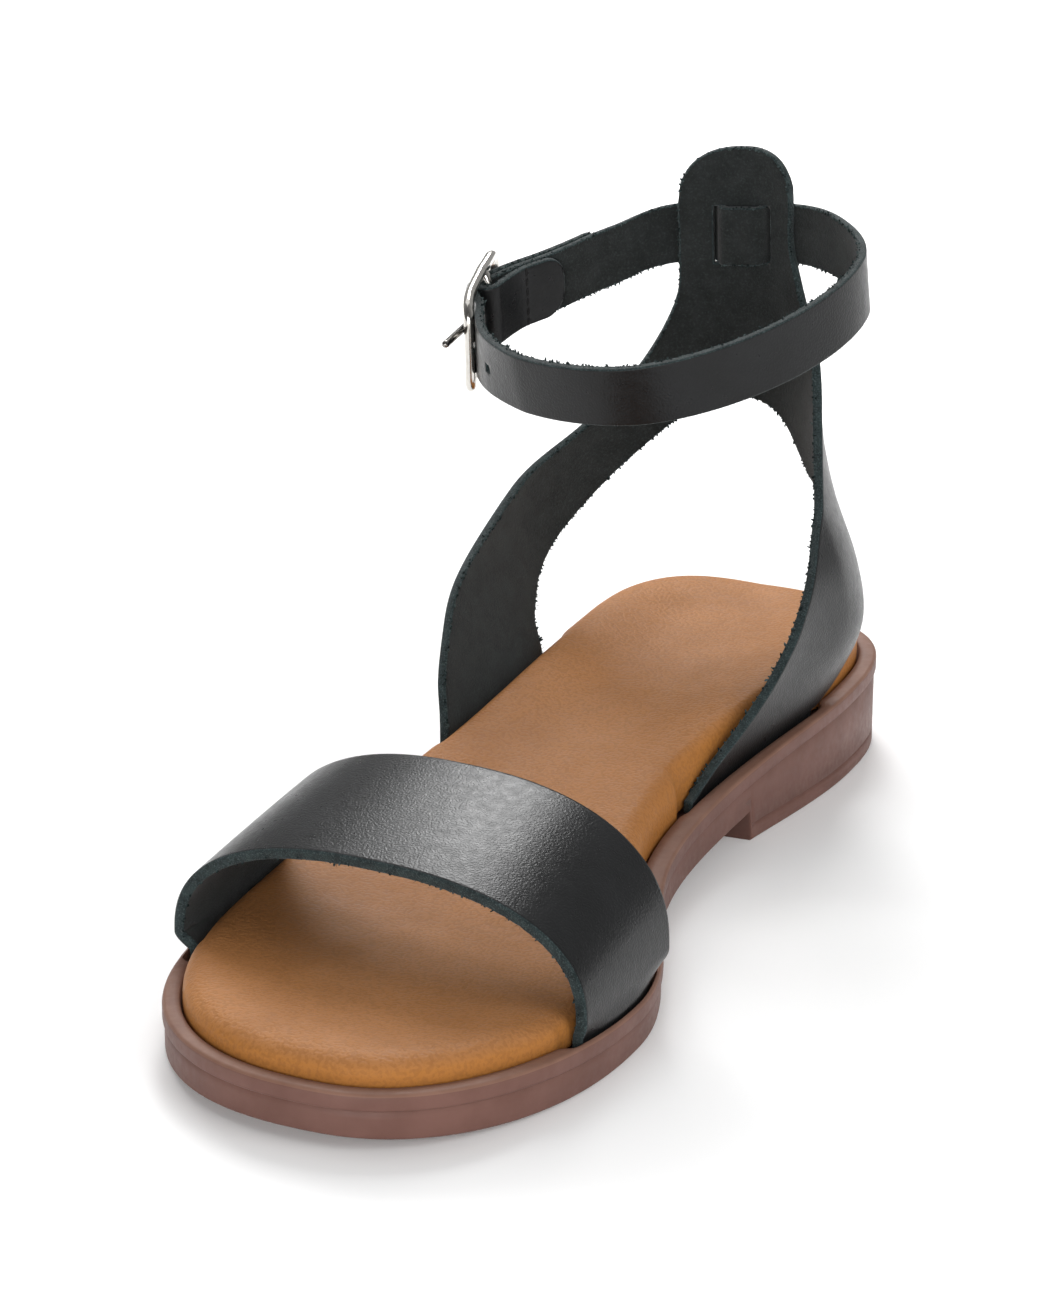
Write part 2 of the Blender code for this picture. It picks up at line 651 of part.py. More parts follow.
class Hoop:
    """Middle line of the ankle strap, with its outward and upward directions, by length along it."""

    def __init__(self):
        turns = BUCKLE_TURN + np.linspace(0, 2 * math.pi, HOOP_SAMPLES + 1)
        hung, hung_up = self.hanging(turns)
        held, held_up, hold = self.at_tab(hung, np.sin(turns) > 0)
        middle = hung + hold[:, None] * (held - hung)
        up = unit(hung_up + hold[:, None] * (held_up - hung_up))
        tangent = self.tangents(middle)
        self.middle = middle
        self.out = unit(np.cross(tangent, up))
        self.up = up
        steps = np.linalg.norm(np.diff(middle, axis=0), axis=1)
        self.along = np.concatenate([[0.0], np.cumsum(steps)])
        self.length = self.along[-1]
        self.behind = np.sin(turns) > 0

    @staticmethod
    def tangents(line):
        ring = line[:-1]
        tangent = unit(np.roll(ring, -1, axis=0) - np.roll(ring, 1, axis=0))
        return np.vstack([tangent, tangent[:1]])

    def hanging(self, turns):
        """The free hoop: a superellipse in a sloping plane, square to it in front and upright behind."""
        power = 2 / HOOP_POWER
        cosine = np.cos(turns)
        sine = np.sin(turns)
        reach = np.where(sine > 0, HOOP_BACK, HOOP_FRONT) * (1 + HOOP_EGG * cosine)
        across = np.sign(cosine) * np.abs(cosine) ** power * HOOP_HALF_WIDTH
        along = np.sign(sine) * np.abs(sine) ** power * reach
        x = across * math.cos(HOOP_TURN) - along * math.sin(HOOP_TURN)
        y = across * math.sin(HOOP_TURN) + along * math.cos(HOOP_TURN)
        z = HOOP_SLOPE[0] * x + HOOP_SLOPE[1] * y
        lean = -HOOP_SLOPE * ((1 - sine) / 2)[:, None]
        up = unit(np.column_stack([lean, np.ones_like(sine)]))
        line = HOOP_CENTRE + np.column_stack([x, y, z])
        out = unit(np.cross(self.tangents(line), up))
        return line - out * STRAP_THICK / 2, up

    @staticmethod
    def at_tab(hung, behind):
        """The strap where it lies against the outside of the tab, and how far the tab holds it."""
        lean = float(table_curve(SECTIONS, "height", "lean", TAB_STRAP_Z))
        away = hung[:, 0] - lean
        hold = behind * (1 - smooth_step((np.abs(away) - TAB_FOLLOW) / (TAB_LEAVE - TAB_FOLLOW)))
        held = hung.copy()
        up = np.tile([0.0, 0.0, 1.0], (len(hung), 1))
        for leg in (LEG_MEDIAL, LEG_LATERAL):
            chosen = np.flatnonzero((hold > 0) & (away * leg.side.sign >= 0))
            column = "medial" if leg.side is MEDIAL else "lateral"
            half_width = table_curve(SECTIONS, "height", column, TAB_STRAP_Z)
            angle = np.degrees(np.arcsin(np.abs(away[chosen]) / half_width))
            level = TAB_STRAP_Z + TAB_TILT * away[chosen]
            face = quarter_surface(leg, angle, level)
            rise = unit(quarter_surface(leg, angle, level + 1) - face)
            turn = quarter_surface(leg, angle + leg.side.sign, level) - face
            out = unit(np.cross(rise, turn))
            held[chosen] = face + out * (GAP + STRAP_THICK / 2)
            up[chosen] = rise
        return held, up, hold

    def place(self, points):
        """Strap coordinates (along, out, up) to places in the shoe."""
        points = np.asarray(points, float)
        along = points[:, 0] % self.length

        def read(values):
            return np.column_stack([np.interp(along, self.along, values[:, axis]) for axis in range(3)])

        out = unit(read(self.out)) * points[:, 1:2]
        up = unit(read(self.up)) * points[:, 2:3]
        return read(self.middle) + out + up

    def along_at_tab(self, x):
        """Length along the strap where its middle line passes the tab at x from the tab's middle."""
        lean = float(table_curve(SECTIONS, "height", "lean", TAB_STRAP_Z))
        chosen = np.flatnonzero(self.behind & (np.abs(self.middle[:, 0] - lean) < TAB_FOLLOW))
        return np.interp(-x, -(self.middle[chosen, 0] - lean), self.along[chosen])


def even_steps(start, end):
    count = max(1, round(abs(end - start) / STRAP_STEP))
    return np.linspace(start, end, count + 1)


def billet_out(along):
    return float(table_curve(BILLET, "along", "out", along))


def bar_twist(along, up):
    """How far the lower edge of billet and frame swings out towards the front bar."""
    swing = smooth_step(along / FRONT_BAR_ALONG)
    return FRAME_TWIST * (frame_half_height() - up) * swing


def billet_twist(along, up):
    """The billet follows the front bar and turns back to the hoop's line beyond it."""
    fade = 1 - smooth_step((along - FRONT_BAR_ALONG) / TWIST_FADE)
    return bar_twist(along, up) * fade * (along < FRONT_BAR_ALONG + TWIST_FADE)


def under_billet(along):
    """Line of the strap's buckle end, one layer inside the billet."""
    return billet_out(along) - LAYER_STEP


def strap_path(hoop):
    """Line of the strap from the billet's tip to the end of its sewn flap, as along and out."""
    length = hoop.length
    inside = -(STRAP_THICK + QUARTER_THICK + 2 * GAP)
    slot_middle = SLOT_INNER_X + SLOT_WIDTH / 2
    half_run = abs(inside) / math.tan(math.radians(WEAVE_SLOPE)) / 2
    enter, inner_start = [hoop.along_at_tab(slot_middle + run) for run in (half_run, -half_run)]
    inner_end, leave = [hoop.along_at_tab(run - slot_middle) for run in (half_run, -half_run)]
    path = [(along, billet_out(along)) for along in even_steps(-TAIL_LENGTH, HOLE_START)]
    path += [(along, billet_out(along)) for along in even_steps(HOLE_END, BILLET[-1].along)]
    path += [(along, 0.0) for along in even_steps(BILLET[-1].along, enter)[1:]]
    path += [(along, inside) for along in even_steps(inner_start, inner_end)]
    path += [(along, under_billet(along - length)) for along in even_steps(leave, length - PRONG_SLIT)]
    pivot = pivot_out()
    for step in range(FOLD_STEPS + 1):
        turn = math.pi / 2 - math.pi * step / FOLD_STEPS
        path.append((length + FOLD_RADIUS * math.cos(turn), pivot + FOLD_RADIUS * math.sin(turn)))
    path.append((length - PRONG_SLIT, pivot - FOLD_RADIUS))
    for back in even_steps(STITCH_RUN, FLAP_LENGTH):
        path.append((length - back, under_billet(-back) - LAYER_STEP))
    return np.array(path)


def pivot_out():
    """The pivot bar lies in the fold of the strap's buckle end."""
    return under_billet(0.0) - FOLD_RADIUS


def strap_openings(path, hoop):
    """Cells of the strap left open for the prong: the punched hole and the slit in the fold."""
    start = path[:-1, 0]
    end = path[1:, 0]
    hole = (start >= HOLE_START) & (end <= HOLE_END)
    slit_edge = hoop.length - PRONG_SLIT
    slit = (start >= slit_edge) & (end > start)
    return {(int(cell), SLOT_ROW) for cell in np.flatnonzero(hole | slit)}


def ankle_strap(hoop):
    path = strap_path(hoop)
    before = unit(np.diff(path, axis=0))
    before = np.vstack([before[:1], before])
    after = np.vstack([before[1:], before[-1:]])
    mitre = unit(before + after)
    sideways = np.column_stack([-mitre[:, 1], mitre[:, 0]])
    square = np.column_stack([-before[:, 1], before[:, 0]])
    reach = STRAP_THICK / 2 / np.sum(sideways * square, axis=1)
    faces = grid_faces(len(path), len(STRAP_ROWS), strap_openings(path, hoop))
    sheets = []
    for way in (1, -1):
        line = path + way * sideways * reach[:, None]
        across = np.array(STRAP_ROWS) * STRAP_WIDTH
        points = np.column_stack([np.repeat(line, len(across), axis=0), np.tile(across, len(line))])
        points[:, 1] += billet_twist(points[:, 0], points[:, 2])
        sheets.append(hoop.place(points))
    return wall_between(sheets[0], sheets[1], faces)


def tube(path, radius, guide, closed=False):
    """Round bar along a line; guide is a direction the line never takes."""
    path = np.asarray(path, float)
    if closed:
        tangent = unit(np.roll(path, -1, axis=0) - np.roll(path, 1, axis=0))
    else:
        tangent = unit(np.gradient(path, axis=0))
    first = unit(guide - np.sum(guide * tangent, axis=1)[:, None] * tangent)
    second = np.cross(tangent, first)
    turns = np.linspace(0, 2 * math.pi, TUBE_SIDES, endpoint=False)
    rings = [path + radius * (math.cos(turn) * first + math.sin(turn) * second) for turn in turns]
    points = np.stack(rings, axis=1).reshape(-1, 3)
    faces = []
    for ring in range(len(path) if closed else len(path) - 1):
        low = ring * TUBE_SIDES
        high = (ring + 1) % len(path) * TUBE_SIDES
        for side in range(TUBE_SIDES):
            following = (side + 1) % TUBE_SIDES
            faces.append([low + side, low + following, high + following, high + side])
    if not closed:
        faces.append(list(range(TUBE_SIDES)))
        faces.append(list(range((len(path) - 1) * TUBE_SIDES, len(path) * TUBE_SIDES)))
    return points, faces


def frame_out(along):
    """Distance out of the frame's sides, which bow gently from the front bar to the back bar."""
    front = billet_out(FRONT_BAR_ALONG) + BAR_REST
    back = billet_out(BACK_BAR_ALONG) + BAR_REST + BACK_BAR_LIFT
    share = (FRONT_BAR_ALONG - along) / (FRONT_BAR_ALONG - BACK_BAR_ALONG)
    return front + (back - front) * max(share, 0.0) ** FRAME_BOW


def frame_half_height():
    return STRAP_WIDTH / 2 + FRAME_CLEARANCE + BAR_RADIUS


def buckle_frame(hoop):
    """Rounded rectangle with a bar outside the billet at each end."""
    front = FRONT_BAR_ALONG - FRAME_CORNER
    back = BACK_BAR_ALONG + FRAME_CORNER
    side = frame_half_height() - FRAME_CORNER
    flat = []
    corners = ((front, side, 0.0), (back, side, 90.0), (back, -side, 180.0), (front, -side, 270.0))
    for along, across, start in corners:
        for step in range(CORNER_STEPS + 1):
            turn = math.radians(start + 90.0 * step / CORNER_STEPS)
            flat.append((along + FRAME_CORNER * math.cos(turn), across + FRAME_CORNER * math.sin(turn)))
    path = []
    for here, following in zip(flat, flat[1:] + flat[:1]):
        steps = FRAME_SIDE_STEPS if math.dist(here, following) > 2 * FRAME_CORNER else 1
        for step in range(steps):
            along, across = [a + (b - a) * step / steps for a, b in zip(here, following)]
            out = frame_out(along) + bar_twist(along, across)
            path.append((along, out, across - FRAME_SAG * abs(along)))
    points, faces = tube(path, BAR_RADIUS, OUT_WAY, closed=True)
    return hoop.place(points), faces


def pivot_bar(hoop):
    """Bar across the frame, dropped between its sides, that carries the prong and the strap's fold."""
    reach = frame_half_height()
    hold = STRAP_WIDTH / 2 + PIVOT_SPARE
    path = [(0.0, pivot_out(), across) for across in (-hold, 0.0, hold)]
    path = [(0.0, frame_out(0.0), -reach)] + path + [(0.0, frame_out(0.0), reach)]
    points, faces = tube(path, PIVOT_RADIUS, OUT_WAY)
    return hoop.place(points), faces


def buckle_prong(hoop):
    """Hook round the pivot bar, then a straight shank through the billet's hole and over the front bar."""
    hook = PIVOT_RADIUS + GAP + PRONG_RADIUS
    path = []
    for step in range(HOOK_STEPS + 1):
        turn = math.radians(HOOK_START + (90.0 - HOOK_START) * step / HOOK_STEPS)
        path.append((hook * math.cos(turn), pivot_out() + hook * math.sin(turn), 0.0))
    over_bar = frame_out(FRONT_BAR_ALONG) + bar_twist(FRONT_BAR_ALONG, PRONG_AT_BAR)
    over_bar += BAR_RADIUS + GAP + PRONG_RADIUS
    start, at_bar = hoop.place([PRONG_START, (FRONT_BAR_ALONG, over_bar, PRONG_AT_BAR)])
    shares = np.linspace(0, PRONG_REACH, PRONG_STEPS)[:, None]
    return tube(np.vstack([hoop.place(path), start + shares * (at_bar - start)]), PRONG_RADIUS, UP_WAY)


# Objects

def finish_material(name):
    finish = FINISHES[name]
    material = bpy.data.materials.get(name) or bpy.data.materials.new(name)
    material.use_nodes = True
    shader = material.node_tree.nodes["Principled BSDF"]
    shader.inputs["Base Color"].default_value = (*finish.colour, 1.0)
    shader.inputs["Roughness"].default_value = finish.roughness
    shader.inputs["Metallic"].default_value = finish.metallic
    return material


def add_object(name, shape, material):
    points, faces = shape
    mesh = bpy.data.meshes.new(name)
    mesh.from_pydata((points * METRES).tolist(), [], faces)
    body = bmesh.new()
    body.from_mesh(mesh)
    bmesh.ops.recalc_face_normals(body, faces=body.faces)
    body.to_mesh(mesh)
    body.free()
    mesh.shade_smooth()
    mesh.set_sharp_from_angle(angle=math.radians(SHARP_ANGLE))
    mesh.materials.append(finish_material(material))
    piece = bpy.data.objects.new(name, mesh)
    bpy.context.scene.collection.objects.link(piece)
    return piece


def join(piece, extra):
    """Make one body of a piece and an extra shape that runs into it."""
    union = piece.modifiers.new("join", "BOOLEAN")
    union.operation = "UNION"
    union.solver = "EXACT"
    union.object = extra
    whole = piece.evaluated_get(bpy.context.evaluated_depsgraph_get())
    mesh = bpy.data.meshes.new_from_object(whole)
    piece.modifiers.clear()
    piece.data = mesh
    bpy.data.objects.remove(extra, do_unlink=True)
    return piece


def centre_over_origin(pieces):
    """Move the shoe so that its whole box is centred over the origin, standing on z = 0."""
    corners = np.array([vertex.co for piece in pieces for vertex in piece.data.vertices])
    low = corners.min(axis=0)
    high = corners.max(axis=0)
    shift = np.array([-(low[0] + high[0]) / 2, -(low[1] + high[1]) / 2, -low[2]])
    for piece in pieces:
        for vertex in piece.data.vertices:
            vertex.co = np.array(vertex.co) + shift


def main():
    for leftover in list(bpy.data.objects):
        bpy.data.objects.remove(leftover, do_unlink=True)
    hoop = Hoop()
    frame = add_object("buckle_frame", buckle_frame(hoop), "buckle_nickel")
    bar = add_object("pivot_bar", pivot_bar(hoop), "buckle_nickel")
    pieces = [
        add_object("outsole", outsole(), "sole_rubber"),
        add_object("insole", insole(), "insole_leather"),
        add_object("front_band", front_band(), "strap_leather"),
        add_object("heel_quarter", heel_quarter(), "strap_leather"),
        add_object("ankle_strap", ankle_strap(hoop), "strap_leather"),
        join(frame, bar),
        add_object("buckle_prong", buckle_prong(hoop), "buckle_nickel"),
    ]
    centre_over_origin(pieces)


main()
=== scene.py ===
"""Looks of the flat sandal, right shoe: leather straps, padded insole, moulded sole and buckle.

Sizes are in millimetres in the sole's own frame and become metres in add_piece. The toe points to -Y and
the inner side of the foot is +X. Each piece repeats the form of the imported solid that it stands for, with
finer edges. The buckle's wire is a little thicker and straighter, and the tab's slots close round the strap.
"""
import math
import random
from collections import namedtuple

import bmesh
import bpy
import numpy as np
from mathutils import Matrix, Vector, kdtree, noise


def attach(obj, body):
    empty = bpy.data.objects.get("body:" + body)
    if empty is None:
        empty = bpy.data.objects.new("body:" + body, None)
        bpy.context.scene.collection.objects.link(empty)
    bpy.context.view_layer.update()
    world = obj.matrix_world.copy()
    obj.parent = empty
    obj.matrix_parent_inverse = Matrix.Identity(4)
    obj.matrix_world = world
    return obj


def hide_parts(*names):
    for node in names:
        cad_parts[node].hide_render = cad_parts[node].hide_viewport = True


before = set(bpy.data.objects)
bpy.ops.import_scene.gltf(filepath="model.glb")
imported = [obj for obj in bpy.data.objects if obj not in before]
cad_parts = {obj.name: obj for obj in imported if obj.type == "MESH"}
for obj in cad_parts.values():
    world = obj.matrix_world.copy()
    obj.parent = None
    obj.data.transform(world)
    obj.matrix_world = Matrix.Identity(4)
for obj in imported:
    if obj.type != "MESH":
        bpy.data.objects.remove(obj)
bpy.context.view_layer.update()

METRES = 0.001
GAP = 0.3
CENTRE_SHIFT = np.array([3.623, 0.0, 0.0])
SEED = 7

# Camera of the photograph: degrees, and millimetres in the sole's frame
CAMERA_AZIMUTH = 22.69
CAMERA_HEIGHT = 18.86
CAMERA_ROLL = 0.4
CAMERA_DISTANCE = 882.55
CAMERA_TARGET = np.array([-17.99, 24.73, 40.0])
CAMERA_FOCAL_PIXELS = 4345.19
IMAGE_HEIGHT = 1300.0
SENSOR = 36.0

# Sole: driving sizes
SOLE_LENGTH = 255.0
TOE_Y = -SOLE_LENGTH / 2
HEEL_Y = SOLE_LENGTH / 2
TOE_TIP_X = 8.0
HEEL_ROUNDNESS = 2.7
BREAST_Y = 39.5
BREAST_RUN = 0.8
TOE_SPRING = 2.4
SPRING_START_Y = -72.0
ARCH_HEIGHT = 6.3
ARCH_START_Y = -36.0
STATIONS = 360

# Sole side: lip with the seam under it, wall, and the line of the top lift round the heel
LIP_HEIGHT = 3.2
LIP_PROUD = 0.4
LIP_UNDERCUT = 0.3
LIP_EDGE = 0.8
LIP_LOWER_EDGE = 0.3
SEAM_DEPTH = 0.25
SEAM_TOP_DEPTH = 0.2
SEAM_TOP_SHARE = 0.3
BOTTOM_BEVEL = 0.7
LIFT_LINE_HEIGHT = 3.4
LIFT_LINE_HALF = 0.4
LIFT_LINE_DEPTH = 0.5
LIFT_LINE_SHARES = (0.25, 0.5, 0.75)
RECESS_DEPTH = 2.6
RECESS_DRAFT = 0.15
RECESS_BEVEL = 0.3
RIM_CROWN = 0.05
ROUND_STEPS = 4
PLAIN_COLUMNS = 2

# Tread: fine zigzag grooves under the forefoot and the heel
TREAD_PITCH = 4.6
TREAD_ZIGZAG = 11.0
TREAD_SWING = 1.6
TREAD_DEPTH = 0.7
TREAD_MARGIN = 6.0
TREAD_COLUMNS = 72
TREAD_ZONES = ((-112.0, -34.0), (52.0, 116.0))
TREAD_FADE = 5.0
TREAD_MARGIN_FADE = 2.0
TREAD_CUT_START = 0.35
TREAD_CUT_RUN = 0.4

# One row for each side of the sole: half widths at ball, waist and heel
Side = namedtuple("Side", "name sign ball_y ball_x waist_y waist_x waist_slope heel_y heel_x toe_power")
MEDIAL = Side("medial", 1, -66.0, 44.6, -8.0, 27.2, -0.24, 86.0, 33.5, 2.12)
LATERAL = Side("lateral", -1, -52.0, 45.1, 30.0, 36.4, -0.11, 85.0, 33.5, 2.3)

# One row for each station along the sole: height of the rim and width of its top
RimRow = namedtuple("RimRow", "y height width")
RIM = [
    RimRow(TOE_Y, 11.0, 3.4),
    RimRow(-60.0, 8.8, 3.4),
    RimRow(0.0, 11.0, 4.8),
    RimRow(60.0, 18.1, 4.2),
    RimRow(HEEL_Y, 20.6, 3.7),
]

# Insole: crown above the rim, rounding of its edge and hollow of its middle
CrownRow = namedtuple("CrownRow", "y rise edge_round dish lateral_lift")
CROWN = [
    CrownRow(TOE_Y, 4.6, 6.0, 0.0, 0.0),
    CrownRow(-60.0, 5.2, 6.0, 0.4, 1.1),
    CrownRow(0.0, 8.3, 5.0, 1.0, 1.6),
    CrownRow(60.0, 9.0, 4.8, 2.0, 1.6),
    CrownRow(HEEL_Y, 7.9, 5.6, 1.4, 1.6),
]
INSOLE_FOOT = 0.8
CROWN_FOOT = 0.8
CROWN_STEPS = 26
CROWN_COLUMNS = 64
DISH_INSET = 8.0
CROWN_POWER = 2.6
LIFT_REACH = 30.0
PUFF_HEIGHT = 0.12
PUFF_PITCH = 9.0
TOP_WAVE_HEIGHT = 0.15
TOP_WAVE_PITCH = 16.0

# Creases in the insole's wall at the toe: place across, part of the wall from low to high, depth and
# half width
Crease = namedtuple("Crease", "x low high depth half")
CREASES = [
    Crease(-20.0, 0.05, 0.50, 0.10, 0.5),
    Crease(-17.2, 0.10, 0.62, 0.16, 0.6),
    Crease(-15.4, 0.00, 0.45, 0.12, 0.5),
    Crease(-13.0, 0.05, 0.70, 0.20, 0.7),
    Crease(-11.2, 0.00, 0.48, 0.14, 0.5),
    Crease(-9.1, 0.10, 0.60, 0.18, 0.6),
    Crease(-6.6, 0.00, 0.52, 0.15, 0.6),
    Crease(-4.7, 0.05, 0.42, 0.12, 0.5),
    Crease(-1.9, 0.00, 0.55, 0.14, 0.7),
    Crease(1.2, 0.05, 0.40, 0.10, 0.5),
    Crease(5.5, 0.00, 0.45, 0.10, 0.6),
    Crease(13.5, 0.00, 0.50, 0.12, 0.6),
    Crease(24.5, 0.05, 0.55, 0.14, 0.6),
    Crease(27.0, 0.00, 0.48, 0.16, 0.6),
    Crease(29.2, 0.05, 0.42, 0.12, 0.5),
]
CREASE_FADE = 2.0
CREASE_LEAN = 1.5
CREASE_TROUGH = 1.3
CREASE_SHOULDER = 0.5
CREASE_SPREAD = 2.0

# Straps
BAND_THICK = 2.2
QUARTER_THICK = 2.0
STRAP_THICK = 1.8
STRAP_WIDTH = 12.8

# Each strap end: where it starts and ends along the sole, and how far in from the edge it stands
Tuck = namedtuple("Tuck", "side front_y back_y front_inset back_inset thick")
BAND_MEDIAL = Tuck(MEDIAL, -86.8, -49.8, 1.6, 1.2, BAND_THICK)
BAND_LATERAL = Tuck(LATERAL, -77.5, -38.0, 1.4, 1.6, BAND_THICK)
LEG_MEDIAL = Tuck(MEDIAL, 22.0, 70.0, 4.4, 3.0, QUARTER_THICK)
LEG_LATERAL = Tuck(LATERAL, 18.0, 66.4, 4.0, 3.0, QUARTER_THICK)
TUCKS = (BAND_MEDIAL, BAND_LATERAL, LEG_MEDIAL, LEG_LATERAL)
TUCK_GAP = 0.5
TUCK_BLEND = 3.0
TUCK_LEAD = 2.0
TUCK_BEFORE = 10.0
TUCK_BEYOND = 30.0
TUCK_SAMPLES = 400
TUCK_STEPS = 4

# Toe band: one row for each edge of its arch
ArchRow = namedtuple("ArchRow", "top shoulder medial_x lateral_x")
BAND_FRONT = ArchRow(35.2, 12.5, 42.0, 45.2)
BAND_BACK = ArchRow(41.6, 14.0, 43.8, 42.6)
ARCH_POWER = 2.4
BAND_ACROSS = 48
ARCH_STEPS = 150
WALL_STEPS = 12
BAND_SWELL = 0.4

# Heel quarter: a U of leather round the heel, one row for each height
PIVOT_Y = 75.0
FLANK_RUN = 45.0
FLANK_BLEND = 45.0
REAR_END = 120.0
REAR_RUN = 50.0
MEDIAL_TAPER = 0.13
SectionRow = namedtuple("SectionRow", "height medial lateral depth lean medial_rear")
SECTIONS = [
    SectionRow(14.0, 30.5, 36.0, 40.0, 0.0, 0.0),
    SectionRow(30.0, 34.0, 40.7, 39.0, 0.0, 6.1),
    SectionRow(45.0, 35.0, 43.5, 38.0, 0.0, 0.5),
    SectionRow(60.0, 30.0, 41.4, 37.0, -0.4, -0.4),
    SectionRow(75.0, 26.8, 38.0, 36.0, -0.8, -0.3),
    SectionRow(105.0, 32.0, 35.0, 33.4, -1.2, 0.0),
    SectionRow(140.0, 32.0, 35.0, 31.0, -1.6, 0.0),
]
# Upper edge of the wishbone: angle from the back of the heel on each leg, in degrees
UpperRow = namedtuple("UpperRow", "height medial lateral")
UPPER_EDGE = [
    UpperRow(10.0, 164.0, 163.0),
    UpperRow(18.0, 147.0, 158.8),
    UpperRow(24.0, 133.5, 155.2),
    UpperRow(30.0, 124.0, 151.0),
    UpperRow(37.0, 117.5, 141.8),
    UpperRow(45.0, 112.0, 128.0),
    UpperRow(55.0, 99.0, 97.0),
    UpperRow(65.0, 85.0, 62.0),
    UpperRow(75.0, 69.0, 44.0),
    UpperRow(85.0, 50.5, 32.5),
    UpperRow(97.0, 30.0, 24.6),
    UpperRow(107.0, 22.2, 24.0),
    UpperRow(118.0, 21.5, 24.5),
]
# Lower edge: height of the arch over the heel at each angle from the back
LowerRow = namedtuple("LowerRow", "angle medial lateral")
LOWER_EDGE = [
    LowerRow(0.0, 74.0, 74.0),
    LowerRow(12.0, 73.0, 72.5),
    LowerRow(24.0, 69.5, 67.5),
    LowerRow(36.0, 60.5, 60.3),
    LowerRow(58.0, 47.2, 47.0),
    LowerRow(69.0, 37.0, 42.4),
    LowerRow(81.0, 23.5, 38.0),
    LowerRow(89.5, 20.0, 34.6),
    LowerRow(93.5, 19.0, 32.3),
    LowerRow(97.0, 18.4, 29.6),
    LowerRow(100.0, 18.0, 24.7),
]
LEG_FIRST_SHARE = 1 / 26
LEG_RISE = 0.25
LEG_SETTLE = 0.3
LEG_FOOT_ROWS = 5
LEG_ROWS = 80
NECK_ROWS = 16
TAB_ROWS = 20
DOME_ROWS = 20
DOME_POWER = 2.4
CROTCH_EDGE_Z = 88.0
TAB_TOP = 129.5
TAB_STRAP_Z = 110.5
TAB_TILT = 0.08
SLOT_INNER_X = 3.6
SLOT_WIDTH = 3.2
SLOT_CLEARANCE = -0.1
LEG_COLUMNS = (0.0, 0.2, 0.4, 0.7, 1.0)
COLUMN_STEPS = (7, 6, 6, 7)
SLOT_COLUMN = 2

# Ankle strap: a slack hoop, lower at the front and on the buckle side
HOOP_CENTRE = np.array([-6.8, 75.1, 100.9])
HOOP_HALF_WIDTH = 42.0
HOOP_FRONT = 39.4
HOOP_BACK = 36.2
HOOP_POWER = 1.75
HOOP_TURN = math.radians(11.4)
HOOP_EGG = 0.06
HOOP_SLOPE = np.array([0.13, 0.25])
HOOP_SAMPLES = 1440
TAB_FOLLOW = 11.0
TAB_LEAVE = 28.0
STRAP_STEP = 3.0
STRAP_FINE_STEP = 0.6
STRAP_ROWS = (-0.5, -0.1, 0.18, 0.5)
STRAP_ROW_STEPS = (9, 7, 8)
SLOT_ROW = 1
TAIL_LENGTH = 28.5
FLAP_LENGTH = 18.0
STITCH_RUN = 8.5
FOLD_STEPS = 24
WEAVE_SLOPE = 78.0
TAIL_ROUND = 2.2
FLAP_ROUND = 5.0
PUNCH_RADIUS = 1.05
PUNCH_UP = -0.5
PUNCHES = (-19.9, -7.8, 16.4, 28.5)
BILLET_SHARE = 1 / 3

# Buckle, in strap coordinates: along the strap from the pivot bar, out from the hoop's line, and across
BUCKLE_TURN = math.radians(162.0)
BAR_RADIUS = 1.0
PIVOT_RADIUS = 0.9
FRONT_BAR_ALONG = 15.5
BACK_BAR_ALONG = -8.5
FRAME_CLEARANCE = 1.5
FRAME_SAG = 0.1
FRAME_BOW = 3.0
PIVOT_SPARE = 0.7
FRAME_TWIST = 0.1
TWIST_FADE = 26.0
BACK_BAR_LIFT = 3.5
FRAME_CORNER = 3.2
CORNER_STEPS = 10
FRAME_SIDE_STEPS = 30
FRAME_FLAT = 1.1
WIRE_RADIUS = 1.2
TUBE_SIDES = 20
STEPS_PER_RADIUS = 3
OUT_WAY = np.array([0.0, 1.0, 0.0])
UP_WAY = np.array([0.0, 0.0, 1.0])
PRONG_RADIUS = 0.8
HOLE_START = 1.8
HOLE_END = 6.8
PRONG_SLIT = 4.0
HOOK_START = 180.0
HOOK_STEPS = 20
FOLD_RADIUS = STRAP_THICK / 2 + GAP + PIVOT_RADIUS
LAYER_STEP = STRAP_THICK + GAP
BAR_REST = STRAP_THICK / 2 + GAP + BAR_RADIUS

# Line of the billet through the buckle; behind the pivot bar the strap's other end lies one layer inside it
BilletRow = namedtuple("BilletRow", "along out")
BILLET = [
    BilletRow(-60.0, 2.1),
    BilletRow(-45.0, 1.6),
    BilletRow(-28.5, 0.2),
    BilletRow(-19.0, -0.6),
    BilletRow(-13.5, 0.2),
    BilletRow(-8.5, 1.9),
    BilletRow(-3.5, 3.2),
    BilletRow(1.0, 4.0),
    BilletRow(3.6, 2.4),
    BilletRow(6.8, -1.7),
    BilletRow(10.5, -2.9),
    BilletRow(14.5, -2.8),
    BilletRow(26.5, -1.6),
    BilletRow(41.5, 0.0),
]
# Prong: a straight shank from its hook on the pivot bar, through the billet's hole and over the front bar
PRONG_START = (2.0, 1.5, 0.3)
PRONG_AT_BAR = 3.0
PRONG_REACH = 1.68
PRONG_STEPS = 6
PRONG_TIP = 0.02

